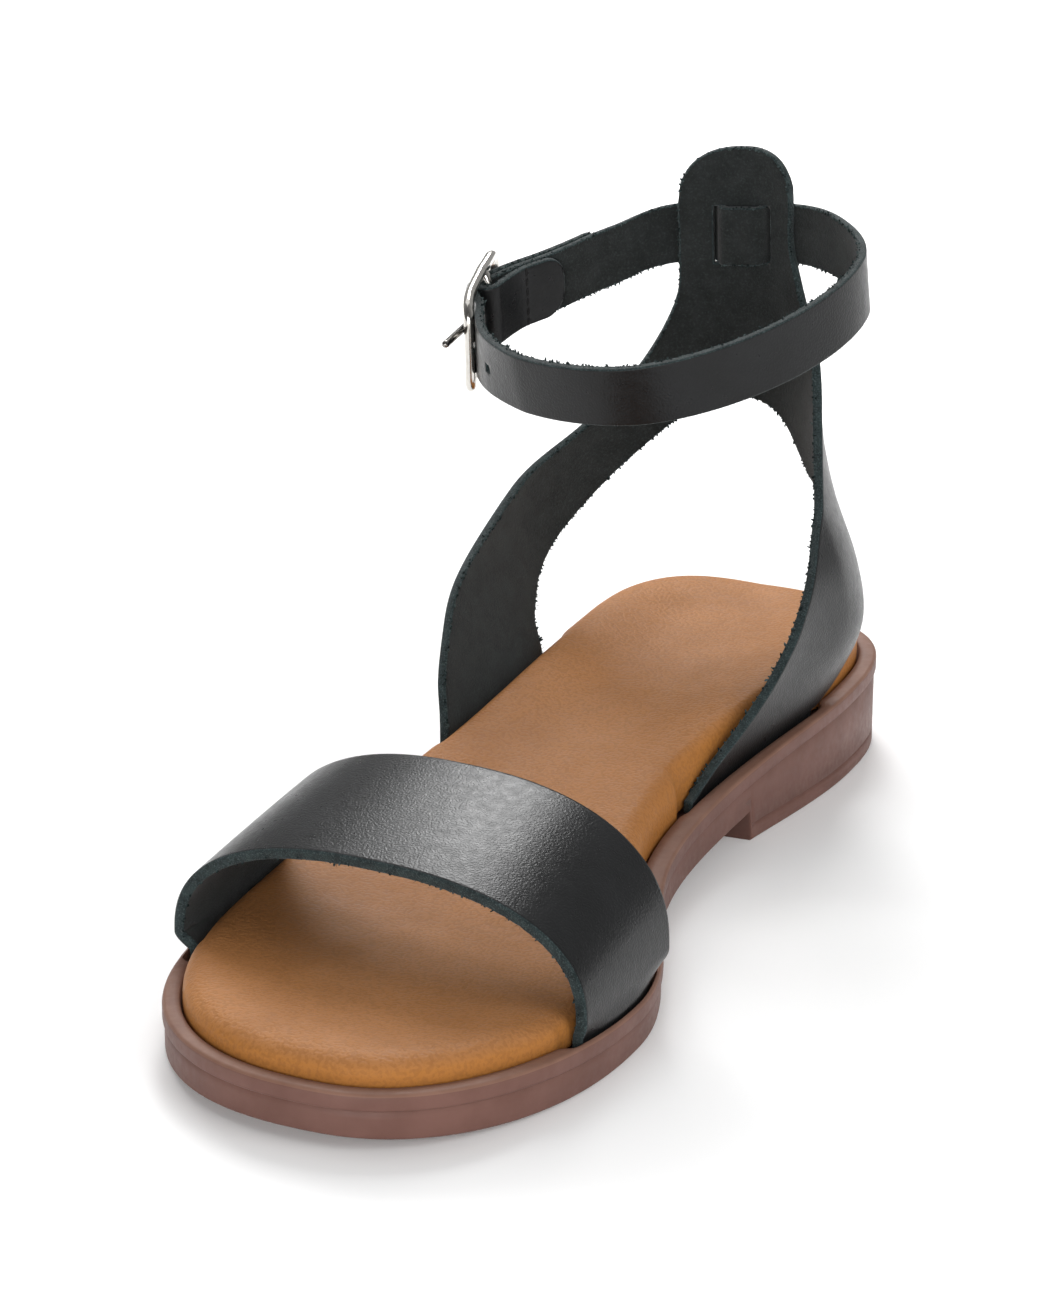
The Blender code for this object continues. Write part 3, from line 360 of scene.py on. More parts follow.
# Cut edge of the leather: depth from the grain side, and how far it stands out
EdgeRow = namedtuple("EdgeRow", "depth out ragged")
EDGE_PROFILE = [
    EdgeRow(0.0, -0.26, 0.0),
    EdgeRow(0.06, -0.10, 0.0),
    EdgeRow(0.16, 0.0, 0.15),
    EdgeRow(0.4, 0.02, 0.5),
    EdgeRow(0.65, 0.0, 0.8),
    EdgeRow(0.86, -0.02, 1.0),
    EdgeRow(0.97, -0.10, 0.8),
    EdgeRow(1.0, -0.28, 0.3),
]
RAGGED_DEPTH = 0.16
RAGGED_PITCH = 0.9
RAGGED_SHIFT = 0.37

# Stitches that hold the strap's fold, in strap coordinates
STITCH_COUNT = 6
STITCH_LENGTH = 1.9
STITCH_RADIUS = 0.42
STITCH_REACH = 5.4
STITCH_SIDES = 8
STITCH_SHAPE = ((-0.5, 0.35), (-0.38, 0.8), (-0.15, 1.0), (0.15, 1.0), (0.38, 0.8), (0.5, 0.35))

# Loose fibres and crumbs on the raw edges: sizes, and how many stand on each millimetre of edge
FibreRow = namedtuple("FibreRow", "radius short long sides per_mm bend tip")
FIBRES = [
    FibreRow(0.05, 0.4, 1.2, 3, 1.4, 0.7, 0.3),
    FibreRow(0.24, 0.35, 0.9, 5, 2.2, 0.4, 0.5),
]
FIBRE_DEPTHS = (0.6, 1.04)
FIBRE_ROOT = 0.1
FIBRE_INWARD = (-0.1, 0.9)
FIBRE_SIZES = (0.7, 1.3)
FIBRE_WAIST = 0.9
FIBRE_ABOVE_RIM = 1.0

# Rounding of lines, and the digits to which points share a place
CORNER_CUTS = 3
CORNER_CUT = 0.25
WELD_DIGITS = 3


# Curves

def hermite(at, start, end):
    """Cubic from start to end, each given as place, value and slope."""
    span = end[0] - start[0]
    share = (at - start[0]) / span
    leaving = (1 + 2 * share) * (1 - share) ** 2 * start[1] + share * (1 - share) ** 2 * span * start[2]
    arriving = share ** 2 * (3 - 2 * share) * end[1] - share ** 2 * (1 - share) * span * end[2]
    return leaving + arriving


def table_curve(table, column, at):
    """Smooth curve through one named column of a table over its first, held at the first and last rows."""
    knots = np.array([row[0] for row in table], float)
    values = np.array([getattr(row, column) for row in table], float)
    slopes = np.gradient(values, knots)
    at = np.clip(np.asarray(at, float), knots[0], knots[-1])
    row = np.clip(np.searchsorted(knots, at) - 1, 0, len(knots) - 2)
    start = (knots[row], values[row], slopes[row])
    end = (knots[row + 1], values[row + 1], slopes[row + 1])
    return hermite(at, start, end)


def smooth_step(share):
    share = np.clip(share, 0.0, 1.0)
    return share * share * (3 - 2 * share)


def unit(vectors):
    return vectors / np.linalg.norm(vectors, axis=-1, keepdims=True)


def waver(points, pitch, shift=0.0):
    """Smooth noise at points, between about -1 and 1, with hills about one pitch apart."""
    return np.array([noise.noise(Vector(point) / pitch + Vector((shift, shift, shift))) for point in points])


def cut_corners(path):
    """Round the corners of an open line."""
    for _ in range(CORNER_CUTS):
        near = (1 - CORNER_CUT) * path[:-1] + CORNER_CUT * path[1:]
        far = CORNER_CUT * path[:-1] + (1 - CORNER_CUT) * path[1:]
        between = np.stack([near, far], axis=1).reshape(-1, path.shape[1])
        path = np.vstack([path[:1], between, path[-1:]])
    return path


def resample(path, step):
    """Points along a line, one step apart."""
    lengths = np.concatenate([[0.0], np.cumsum(np.linalg.norm(np.diff(path, axis=0), axis=1))])
    at = np.linspace(0, lengths[-1], max(2, round(lengths[-1] / step)) + 1)
    return np.column_stack([np.interp(at, lengths, path[:, axis]) for axis in range(path.shape[1])])


def split_spans(marks, steps):
    """Finer list of values that keeps every mark, with the given number of steps in each span."""
    values = [marks[0]]
    for start, end, count in zip(marks, marks[1:], steps):
        values += [start + (end - start) * step / count for step in range(1, count + 1)]
    return np.array(values)


# The sole's own sizes along its length

def side_x(side, y):
    """Half width of the sole at y on one side: toe and heel are superellipse quarters."""
    y = np.asarray(y, float)
    tip = side.sign * TOE_TIP_X
    toe_share = np.clip((side.ball_y - y) / (side.ball_y - TOE_Y), 0, 1)
    toe = tip + (side.ball_x - tip) * (1 - toe_share ** side.toe_power) ** (1 / side.toe_power)
    heel_share = np.clip((y - side.heel_y) / (HEEL_Y - side.heel_y), 0, 1)
    heel = side.heel_x * (1 - heel_share ** HEEL_ROUNDNESS) ** (1 / HEEL_ROUNDNESS)
    ball = (side.ball_y, side.ball_x, 0.0)
    waist = (side.waist_y, side.waist_x, side.waist_slope)
    seat = (side.heel_y, side.heel_x, 0.0)
    middle = np.where(y < side.waist_y, hermite(y, ball, waist), hermite(y, waist, seat))
    return np.where(y < side.ball_y, toe, np.where(y > side.heel_y, heel, middle))


def rim_height(y):
    return table_curve(RIM, "height", y)


def floor_height(y):
    """Floor of the recess inside the rim, which carries the insole and the strap ends."""
    return rim_height(y) - RECESS_DEPTH


def ground_height(y):
    """Underside of the sole: toe spring, flat forefoot, rising waist, heel breast and flat heel."""
    spring = TOE_SPRING * np.clip((SPRING_START_Y - y) / (SPRING_START_Y - TOE_Y), 0, 1) ** 2
    arch = ARCH_HEIGHT * np.clip((y - ARCH_START_Y) / (BREAST_Y - ARCH_START_Y), 0, 1) ** 2
    return np.where(y > BREAST_Y, 0.0, spring + arch)


def tuck_inset(tuck, y):
    """Distance from the sole's edge to the outer face of a strap end."""
    share = np.clip((y - tuck.front_y) / (tuck.back_y - tuck.front_y), 0, 1)
    return tuck.front_inset + share * (tuck.back_inset - tuck.front_inset)


def tuck_share(tuck, y):
    """One where a strap end goes down beside the insole, fading to nothing past its edges."""
    before = (y - tuck.front_y) / TUCK_BLEND + TUCK_LEAD
    after = (tuck.back_y - y) / TUCK_BLEND + TUCK_LEAD
    return smooth_step(np.minimum(before, after))


def tuck_x(tuck, y):
    """Half width at y to a strap end's outer face, which stands square in from the sole's edge."""
    stations = np.linspace(tuck.front_y - TUCK_BEFORE, tuck.back_y + TUCK_BEYOND, TUCK_SAMPLES)
    edge = side_x(tuck.side, stations)
    slope = np.gradient(edge, stations)
    inset = tuck_inset(tuck, stations) / np.sqrt(1 + slope ** 2)
    return np.interp(y, stations + inset * slope, edge - inset)


# Loops round the sole

class Outline:
    """The sole's edge as one loop: toe tip, lateral side, heel tip, then the medial side back."""

    def __init__(self):
        stations = TOE_Y * np.cos(np.linspace(0, math.pi, STATIONS)[1:-1])
        stations = stations[np.abs(stations - BREAST_Y) > 2 * BREAST_RUN]
        along = np.sort(np.append(stations, (BREAST_Y, BREAST_Y + BREAST_RUN)))
        lateral = np.column_stack([-side_x(LATERAL, along), along])
        medial = np.column_stack([side_x(MEDIAL, along), along])
        self.side_count = len(along)
        self.points = np.vstack([[TOE_TIP_X, TOE_Y], lateral, [0.0, HEEL_Y], medial[::-1]])
        self.size = len(self.points)
        self.y = self.points[:, 1]
        self.is_lateral = np.arange(self.size) <= self.side_count
        before = unit(self.points - np.roll(self.points, 1, axis=0))
        after = unit(np.roll(self.points, -1, axis=0) - self.points)
        tangent = unit(before + after)
        self.outward = np.column_stack([-tangent[:, 1], tangent[:, 0]])

    def ring(self, inset, height):
        inset = np.broadcast_to(inset, self.y.shape)
        height = np.broadcast_to(height, self.y.shape)
        return np.column_stack([self.points - self.outward * inset[:, None], height])

    def beside_tucks(self, plain, at_tuck):
        """A distance from the edge that turns from plain to at_tuck(tuck, y) beside each strap end."""
        inset = np.array(np.broadcast_to(plain, self.y.shape), float)
        for tuck in TUCKS:
            on_side = self.is_lateral if tuck.side is LATERAL else ~self.is_lateral
            inset += on_side * tuck_share(tuck, self.y) * (at_tuck(tuck, self.y) - plain)
        return inset

    def cap(self, ring, ring_start, new_start, columns):
        """Fill a ring with rows of points across the sole; returns the new points and the faces."""
        shares = np.arange(1, columns)[:, None] / columns
        points = []
        for step in range(1, self.side_count + 1):
            left = ring[step]
            right = ring[self.size - step]
            points.append(left + shares * (right - left))

        def corner(step, column):
            if column == 0 or step in (0, self.side_count + 1):
                return ring_start + step
            if column == columns:
                return ring_start + self.size - step
            return new_start + (step - 1) * (columns - 1) + column - 1

        faces = []
        for step in range(self.side_count + 1):
            for column in range(columns):
                corners = [corner(step, column), corner(step + 1, column)]
                corners += [corner(step + 1, column + 1), corner(step, column + 1)]
                corners = list(dict.fromkeys(corners))
                if len(corners) > 2:
                    faces.append(corners)
        return np.vstack(points), faces


def distance_to(ring, points):
    """Distance across the floor plan from each point to the nearest point of a ring."""
    tree = kdtree.KDTree(len(ring))
    for index, place in enumerate(ring):
        tree.insert((place[0], place[1], 0.0), index)
    tree.balance()
    return np.array([tree.find((point[0], point[1], 0.0))[2] for point in points])


# Faces, and sheets of leather

def ring_faces(rings, size, closed=False):
    """Four-sided faces between rings of points that lie one after the other."""
    faces = []
    for ring in range(rings if closed else rings - 1):
        low = ring * size
        high = (ring + 1) % rings * size
        for step in range(size):
            following = (step + 1) % size
            faces.append([low + step, low + following, high + following, high + step])
    return faces


def together(shapes):
    """One list of points and faces from several shapes."""
    points = []
    faces = []
    start = 0
    for shape_points, shape_faces in shapes:
        points.append(shape_points)
        faces += [[start + point for point in face] for face in shape_faces]
        start += len(shape_points)
    return np.vstack(points), faces


def grid_faces(rows, columns, skip=()):
    """Four-sided faces of a grid of points, without the cells named in skip."""
    faces = []
    for row in range(rows - 1):
        for column in range(columns - 1):
            if (row, column) not in skip:
                corner = row * columns + column
                faces.append([corner, corner + 1, corner + columns + 1, corner + columns])
    return faces


def sheet_normals(points, faces):
    """Normals at the points of an open sheet, averaged over the faces that meet there."""
    normals = np.zeros_like(points)
    for face in faces:
        corners = points[face]
        normals[face] += np.cross(corners, np.roll(corners, -1, axis=0)).sum(axis=0)
    return unit(normals)


def weld(points, faces):
    """Join points that share a place, such as the two halves along the back of the heel."""
    keys = {}
    new_index = []
    kept = []
    for point in points:
        key = tuple(np.round(point, WELD_DIGITS))
        if key not in keys:
            keys[key] = len(kept)
            kept.append(point)
        new_index.append(keys[key])
    joined = []
    for face in faces:
        corners = list(dict.fromkeys(new_index[point] for point in face))
        if len(corners) > 2:
            joined.append(corners)
    return np.array(kept), joined


Edge = namedtuple("Edge", "outer inner away along span border")


def longest_loop(following):
    """The longest closed line in a table of following points."""
    left = set(following)
    longest = []
    while left:
        loop = [left.pop()]
        while following[loop[-1]] in left:
            loop.append(following[loop[-1]])
            left.discard(loop[-1])
        longest = max(longest, loop, key=len)
    return longest


def leather(outer, inner, faces):
    """Closed body from the grain and flesh faces of a sheet, with a rounded, slightly ragged cut edge.

    Returns points, faces, the finish of each face (0 grain, 1 flesh, 2 cut edge) and the edge's places.
    """
    outer = outer.copy()
    inner = inner.copy()
    owner = {}
    for index, face in enumerate(faces):
        for start, end in zip(face, face[1:] + face[:1]):
            owner[(start, end)] = index
    following = {start: end for start, end in owner if (end, start) not in owner}
    previous = {end: start for start, end in following.items()}
    rim = np.array(sorted(following))
    place_in_rim = {point: index for index, point in enumerate(rim)}
    middle = (outer + inner) / 2
    behind = np.array([previous[point] for point in rim])
    ahead = np.array([following[point] for point in rim])
    along = unit(middle[ahead] - middle[behind])
    away = unit(np.cross(along, unit(outer - inner)[rim]))
    centres = np.array([middle[faces[owner[(point, following[point])]]].mean(axis=0) for point in rim])
    backwards = np.sum(away * (centres - middle[rim]), axis=1) > 0
    away[backwards] *= -1
    span = np.linalg.norm(middle[ahead] - middle[behind], axis=1) / 2
    edge = Edge(outer[rim], inner[rim], away, along, span, np.isin(rim, longest_loop(following)))
    rings = []
    for step, row in enumerate(EDGE_PROFILE):
        line = edge.outer + row.depth * (edge.inner - edge.outer)
        rough = row.ragged * RAGGED_DEPTH * waver(line, RAGGED_PITCH, step * RAGGED_SHIFT)
        rings.append(line + away * (row.out + rough)[:, None])
    outer[rim] = rings[0]
    inner[rim] = rings[-1]
    count = len(outer)
    points = [outer, inner] + rings[1:-1]
    starts = [2 * count + step * len(rim) for step in range(len(rings) - 2)]
    ring_points = [rim] + [start + np.arange(len(rim)) for start in starts] + [count + rim]
    body = [list(face) for face in faces]
    body += [[count + point for point in reversed(face)] for face in faces]
    finish = [0] * len(faces) + [1] * len(faces)
    for start, end in following.items():
        first = place_in_rim[start]
        second = place_in_rim[end]
        for low, high in zip(ring_points, ring_points[1:]):
            body.append([int(low[second]), int(low[first]), int(high[first]), int(high[second])])
            finish.append(2)
    return np.vstack(points), body, finish, edge


# Pieces

def rounded(start, end, bulge, steps):
    """Insets and heights from start to end along a quarter arc; bulge says which of the two moves first."""
    rows = []
    for step in range(1, steps + 1):
        turn = math.pi / 2 * step / steps
        fast = math.sin(turn)
        slow = 1 - math.cos(turn)
        inset_share, height_share = (fast, slow) if bulge == "inset" else (slow, fast)
        inset = start[0] + inset_share * (end[0] - start[0])
        rows.append((inset, start[1] + height_share * (end[1] - start[1])))
    return rows


def tread_depth(x, y, margin):
    """How deep the zigzag grooves are cut at a place under the sole."""
    zone = np.zeros_like(y)
    for front, back in TREAD_ZONES:
        zone = np.maximum(zone, smooth_step((y - front) / TREAD_FADE) * smooth_step((back - y) / TREAD_FADE))
    swing = np.abs((x / TREAD_ZIGZAG) % 2 - 1) * TREAD_SWING
    wave = np.cos(2 * math.pi * (y + swing) / TREAD_PITCH)
    inside = smooth_step((margin - TREAD_MARGIN) / TREAD_MARGIN_FADE)
    return TREAD_DEPTH * zone * inside * smooth_step((wave - TREAD_CUT_START) / TREAD_CUT_RUN)


def outsole():
    edge = Outline()
    ground = ground_height(edge.y)
    rim = rim_height(edge.y)
    wall = LIP_PROUD
    groove = LIFT_LINE_DEPTH * smooth_step((edge.y - BREAST_Y) / BREAST_RUN)
    line_low = ground + LIFT_LINE_HEIGHT - LIFT_LINE_HALF
    width = table_curve(RIM, "width", edge.y)
    inner = edge.beside_tucks(width, lambda tuck, y: tuck_inset(tuck, y) - TUCK_GAP)
    rows = [(wall + BOTTOM_BEVEL, ground)]
    rows += rounded(rows[-1], (wall, ground + BOTTOM_BEVEL), "inset", ROUND_STEPS)
    rows.append((wall, line_low))
    for share in LIFT_LINE_SHARES:
        depth = groove * math.sin(math.pi * share)
        rows.append((wall + depth, line_low + 2 * LIFT_LINE_HALF * share))
    rows.append((wall, line_low + 2 * LIFT_LINE_HALF))
    under_lip = rim - LIP_HEIGHT
    rows.append((wall, under_lip - 2 * LIP_UNDERCUT))
    rows.append((wall + SEAM_DEPTH, under_lip - LIP_UNDERCUT))
    rows.append((wall + SEAM_TOP_DEPTH, under_lip - SEAM_TOP_SHARE * LIP_UNDERCUT))
    rows += rounded(rows[-1], (0.0, under_lip + LIP_LOWER_EDGE), "inset", ROUND_STEPS)
    rows.append((0.0, rim - LIP_EDGE))
    top_start = len(rows)
    rows += rounded(rows[-1], (LIP_EDGE, rim), "height", ROUND_STEPS)
    rows.append(((LIP_EDGE + inner) / 2, rim + RIM_CROWN))
    rows.append((inner - RECESS_BEVEL, rim))
    rows.append((inner, rim - RECESS_BEVEL))
    rows.append((inner + RECESS_DRAFT, floor_height(edge.y)))
    rings = [edge.ring(inset, height) for inset, height in rows]
    points = np.vstack(rings)
    faces = ring_faces(len(rings), edge.size)
    tread, tread_faces = edge.cap(rings[0], 0, len(points), TREAD_COLUMNS)
    margin = distance_to(rings[0], tread)
    tread[:, 2] += tread_depth(tread[:, 0], tread[:, 1], margin)
    floor_start = (len(rings) - 1) * edge.size
    floor, floor_faces = edge.cap(rings[-1], floor_start, len(points) + len(tread), PLAIN_COLUMNS)
    # Faces of the rim's top and the recess take the second rubber, the lighter copy with painted light.
    finish = [int(index >= top_start * edge.size) for index in range(len(faces))]
    finish += [0] * (len(tread_faces) + len(floor_faces))
    return np.vstack([points, tread, floor]), faces + tread_faces + floor_faces, finish


def crease_depth(edge, share):
    """How far the insole's wall is drawn in by the toe creases, at one level of the wall."""
    depth = np.zeros(edge.size)
    at_toe = edge.y < SPRING_START_Y
    for crease in CREASES:
        middle = (crease.low + crease.high) / 2
        reach = (crease.high - crease.low) / 2
        fade = smooth_step((1 - abs(share - middle) / reach) * CREASE_FADE)
        lean = crease.x + CREASE_LEAN * (share - middle)
        off = (edge.points[:, 0] - lean) / crease.half
        trough = CREASE_TROUGH * np.exp(-off ** 2)
        shoulder = CREASE_SHOULDER * np.exp(-(off / CREASE_SPREAD) ** 2)
        depth += at_toe * fade * crease.depth * (trough - shoulder)
    return depth


def insole_lift(points):
    """The footbed's outer side stands higher than its inner side."""
    lift = table_curve(CROWN, "lateral_lift", points[:, 1])
    return lift * np.clip(-points[:, 0] / LIFT_REACH, 0, 1)


def insole():
    edge = Outline()
    power = 2 / CROWN_POWER
    rim = rim_height(edge.y)
    rise = table_curve(CROWN, "rise", edge.y)
    width = table_curve(RIM, "width", edge.y)
    free = width + RECESS_DRAFT + GAP
    side = edge.beside_tucks(free, lambda tuck, y: tuck_inset(tuck, y) + tuck.thick + TUCK_GAP)
    crown_inset = free + table_curve(CROWN, "edge_round", edge.y)
    base = floor_height(edge.y) + GAP
    rings = [edge.ring(side + INSOLE_FOOT, base), edge.ring(side, base + INSOLE_FOOT)]
    lifts = [np.zeros(edge.size), np.zeros(edge.size)]
    for step in range(CROWN_STEPS + 1):
        share = step / CROWN_STEPS
        turn = math.pi / 2 * share
        inset = side + (crown_inset - side) * (1 - math.cos(turn) ** power) + crease_depth(edge, share)
        climb = math.sin(turn) ** power
        ring = edge.ring(inset, rim + CROWN_FOOT + (rise - CROWN_FOOT) * climb)
        puff = PUFF_HEIGHT * math.sin(math.pi * share) * waver(ring, PUFF_PITCH)
        ring[:, :2] += edge.outward * puff[:, None]
        rings.append(ring)
        lifts.append(climb * insole_lift(ring))
    points = np.vstack(rings)
    faces = ring_faces(len(rings), edge.size)
    top_start = (len(rings) - 1) * edge.size
    top, top_faces = edge.cap(rings[-1], top_start, len(points), CROWN_COLUMNS)
    inside = distance_to(rings[-1], top)
    dish = table_curve(CROWN, "dish", top[:, 1])
    top[:, 2] -= dish * smooth_step(inside / (2 * DISH_INSET))
    wave = TOP_WAVE_HEIGHT * smooth_step(inside / DISH_INSET) * waver(top, TOP_WAVE_PITCH)
    top[:, 2] += wave + insole_lift(top)
    points[:, 2] += np.concatenate(lifts)
    base, base_faces = edge.cap(rings[0], 0, len(points) + len(top), PLAIN_COLUMNS)
    return np.vstack([points, top, base]), faces + top_faces + base_faces


def arch_line(row, base_left, base_right):
    """Cross line of the toe band, from the lateral base over the toes to the medial base, as x and z."""
    turns = np.linspace(math.pi, 0, ARCH_STEPS + 1)
    middle = (row.medial_x - row.lateral_x) / 2
    half = (row.medial_x + row.lateral_x) / 2
    power = 2 / ARCH_POWER
    arch_x = middle + half * np.sign(np.cos(turns)) * np.abs(np.cos(turns)) ** power
    arch_z = row.shoulder + (row.top - row.shoulder) * np.abs(np.sin(turns)) ** power
    left = wall_line(base_left, arch_x[0], row.shoulder)
    right = wall_line(base_right, arch_x[-1], row.shoulder)
    return np.vstack([left, np.column_stack([arch_x, arch_z]), right[::-1]])


def wall_line(base, shoulder_x, shoulder_z):
    """Wall of the toe band: straight up to the rim, then leaning out to the shoulder of the arch."""
    base_x, foot_z, rim_z = base
    line = [(base_x, foot_z + (rim_z - foot_z) * step / TUCK_STEPS) for step in range(TUCK_STEPS)]
    for step in range(WALL_STEPS):
        share = step / WALL_STEPS
        lean = math.sin(share * math.pi / 2)
        line.append((base_x + lean * (shoulder_x - base_x), rim_z + share * (shoulder_z - rim_z)))
    return np.array(line)


def band_base(tuck, share):
    """Place along the sole of one wall of the toe band, and its x, foot and rim there."""
    y = tuck.front_y + share * (tuck.back_y - tuck.front_y)
    return y, (tuck.side.sign * tuck_x(tuck, y), floor_height(y) + GAP, rim_height(y) + GAP)


def front_band():
    lines = []
    for share in np.linspace(0, 1, BAND_ACROSS + 1):
        row = ArchRow(*[front + share * (back - front) for front, back in zip(BAND_FRONT, BAND_BACK)])
        swell = BAND_SWELL * 4 * share * (1 - share)
        row = row._replace(top=row.top + swell)
        left_y, left = band_base(BAND_LATERAL, share)
        right_y, right = band_base(BAND_MEDIAL, share)
        x, z = arch_line(row, left, right).T
        across = (x - left[0]) / (right[0] - left[0])
        lines.append(np.column_stack([x, left_y + across * (right_y - left_y), z]))
    outer = np.vstack(lines)
    faces = grid_faces(len(lines), len(lines[0]))
    inner = outer - sheet_normals(outer, faces) * BAND_THICK
    return leather(outer, inner, faces)


def quarter_surface(leg, angle, height):
    """Outer face of the heel quarter at an angle from the back of the heel and a height."""
    side = leg.side
    turn = np.radians(np.minimum(angle, 90.0))
    depth = table_curve(SECTIONS, "depth", height)
    y = PIVOT_Y + depth * np.cos(turn) - FLANK_RUN * np.radians(np.maximum(angle - 90.0, 0.0))
    half_width = table_curve(SECTIONS, side.name, height)
    if side is MEDIAL:
        behind = smooth_step((REAR_END - angle) / REAR_RUN)
        half_width = half_width + behind * table_curve(SECTIONS, "medial_rear", height)
        half_width = half_width - MEDIAL_TAPER * np.maximum(PIVOT_Y - y, 0.0)
    free_x = half_width * np.sin(turn)
    foot_x = tuck_x(leg, y)
    climb = np.clip((height - rim_height(y)) / FLANK_BLEND, 0, 1)
    climb = climb * (2 - climb)
    x = foot_x + climb * (free_x - foot_x)
    lean = table_curve(SECTIONS, "lean", height)
    return np.column_stack([side.sign * x + lean, y, height])


def flank_angle(y):
    """Angle of a place on the straight flank in front of the pivot line."""
    return 90.0 + np.degrees((PIVOT_Y - y) / FLANK_RUN)


def tab_row(leg, columns, level):
    """Angles and heights across half of the tab at one level, with a column at each side of the slot."""
    half_width = table_curve(SECTIONS, leg.side.name, level)
    upper_angle = float(table_curve(UPPER_EDGE, leg.side.name, level))
    slot_inner = math.degrees(math.asin(SLOT_INNER_X / half_width))
    slot_outer = math.degrees(math.asin((SLOT_INNER_X + SLOT_WIDTH) / half_width))
    marks = [upper_angle, (upper_angle + slot_outer) / 2, slot_outer, slot_inner, 0.0]
    across = np.interp(columns, LEG_COLUMNS, marks)
    return across, level + TAB_TILT * leg.side.sign * half_width * np.sin(np.radians(across))


def leg_half(leg):
    """Rows of angle and height over one leg and its half of the neck and tab, and the slot's first row."""
    name = leg.side.name
    columns = split_spans(LEG_COLUMNS, COLUMN_STEPS)
    foot_y = leg.front_y + columns * (leg.back_y - leg.front_y)
    back_angle = np.degrees(np.arccos((foot_y - PIVOT_Y).clip(0) / SECTIONS[0].depth))
    foot_angle = np.where(foot_y < PIVOT_Y, flank_angle(foot_y), back_angle)
    foot_z = floor_height(foot_y) + GAP
    rim_z = rim_height(foot_y) + GAP

    def leg_row(share):
        upper_z = foot_z[0] + share * (CROTCH_EDGE_Z - foot_z[0])
        upper_angle = table_curve(UPPER_EDGE, name, upper_z)
        lower_angle = foot_angle[-1] * (1 - share)
        lower_z = table_curve(LOWER_EDGE, name, lower_angle)
        return upper_angle + columns * (lower_angle - upper_angle), upper_z + columns * (lower_z - upper_z)

    def settled_row(share):
        row_angle, row_z = leg_row(share)
        return row_angle, row_z + shortage * smooth_step(1 - (share - LEG_FIRST_SHARE) / LEG_SETTLE)

    rows = [(foot_angle, foot_z + (rim_z - foot_z) * step / TUCK_STEPS) for step in range(TUCK_STEPS)]
    first_angle, first_z = leg_row(LEG_FIRST_SHARE)
    beside_y = quarter_surface(leg, first_angle, first_z)[:, 1]
    shortage = np.maximum(rim_height(beside_y) + GAP + LEG_RISE - first_z, 0.0)
    first = settled_row(LEG_FIRST_SHARE)
    for step in range(LEG_FOOT_ROWS):
        share = step / LEG_FOOT_ROWS
        rows.append((foot_angle + share * (first[0] - foot_angle), rim_z + share * (first[1] - rim_z)))
    rows += [settled_row(share) for share in np.linspace(LEG_FIRST_SHARE, 1, LEG_ROWS)]
    slot_half = STRAP_WIDTH / 2 + SLOT_CLEARANCE
    slot_low = TAB_STRAP_Z - slot_half
    slot_high = TAB_STRAP_Z + slot_half
    crotch_z = LOWER_EDGE[0].medial
    tab_angles, tab_heights = tab_row(leg, columns, slot_low)
    for share in np.linspace(0, 1, NECK_ROWS + 1)[1:-1]:
        upper_z = CROTCH_EDGE_Z + share * (slot_low - CROTCH_EDGE_Z)
        middle_z = crotch_z + share * (slot_low - crotch_z)
        upper_angle = table_curve(UPPER_EDGE, name, upper_z)
        turn = smooth_step(share)
        angles = upper_angle * ((1 - columns) * (1 - turn) + turn * tab_angles / tab_angles[0])
        rows.append((angles, upper_z + columns * (middle_z - upper_z) + turn * (tab_heights - slot_low)))
    slot_start = len(rows)
    rows += [tab_row(leg, columns, level) for level in np.linspace(slot_low, slot_high, TAB_ROWS + 1)]
    side_angle, dome_foot = rows[-1]
    across = side_angle / side_angle[0]
    dome = (TAB_TOP - slot_high) * (1 - across ** DOME_POWER) ** (1 / DOME_POWER)
    for share in np.linspace(0, 1, DOME_ROWS + 1)[1:]:
        rows.append((side_angle, dome_foot + dome * share))
    angles, heights = zip(*rows)
    return np.array(angles), np.array(heights), slot_start


def heel_quarter():
    first_column = sum(COLUMN_STEPS[:SLOT_COLUMN])
    slot_columns = range(first_column, first_column + COLUMN_STEPS[SLOT_COLUMN])
    halves = []
    for leg in (LEG_MEDIAL, LEG_LATERAL):
        angles, heights, slot_start = leg_half(leg)
        rows, columns = angles.shape
        skip = {(row, column) for row in range(slot_start, slot_start + TAB_ROWS) for column in slot_columns}
        sheet = grid_faces(rows, columns, skip)
        if leg.side is LATERAL:
            sheet = [face[::-1] for face in sheet]
        halves.append((quarter_surface(leg, angles.ravel(), heights.ravel()), sheet))
    points, faces = weld(*together(halves))
    inner = points - sheet_normals(points, faces) * QUARTER_THICK
    return leather(points, inner, faces)


# Ankle strap and buckle, in strap coordinates

def tab_middle():
    """The tab's middle line, as x, at the height of the strap."""
    return float(table_curve(SECTIONS, "lean", TAB_STRAP_Z))


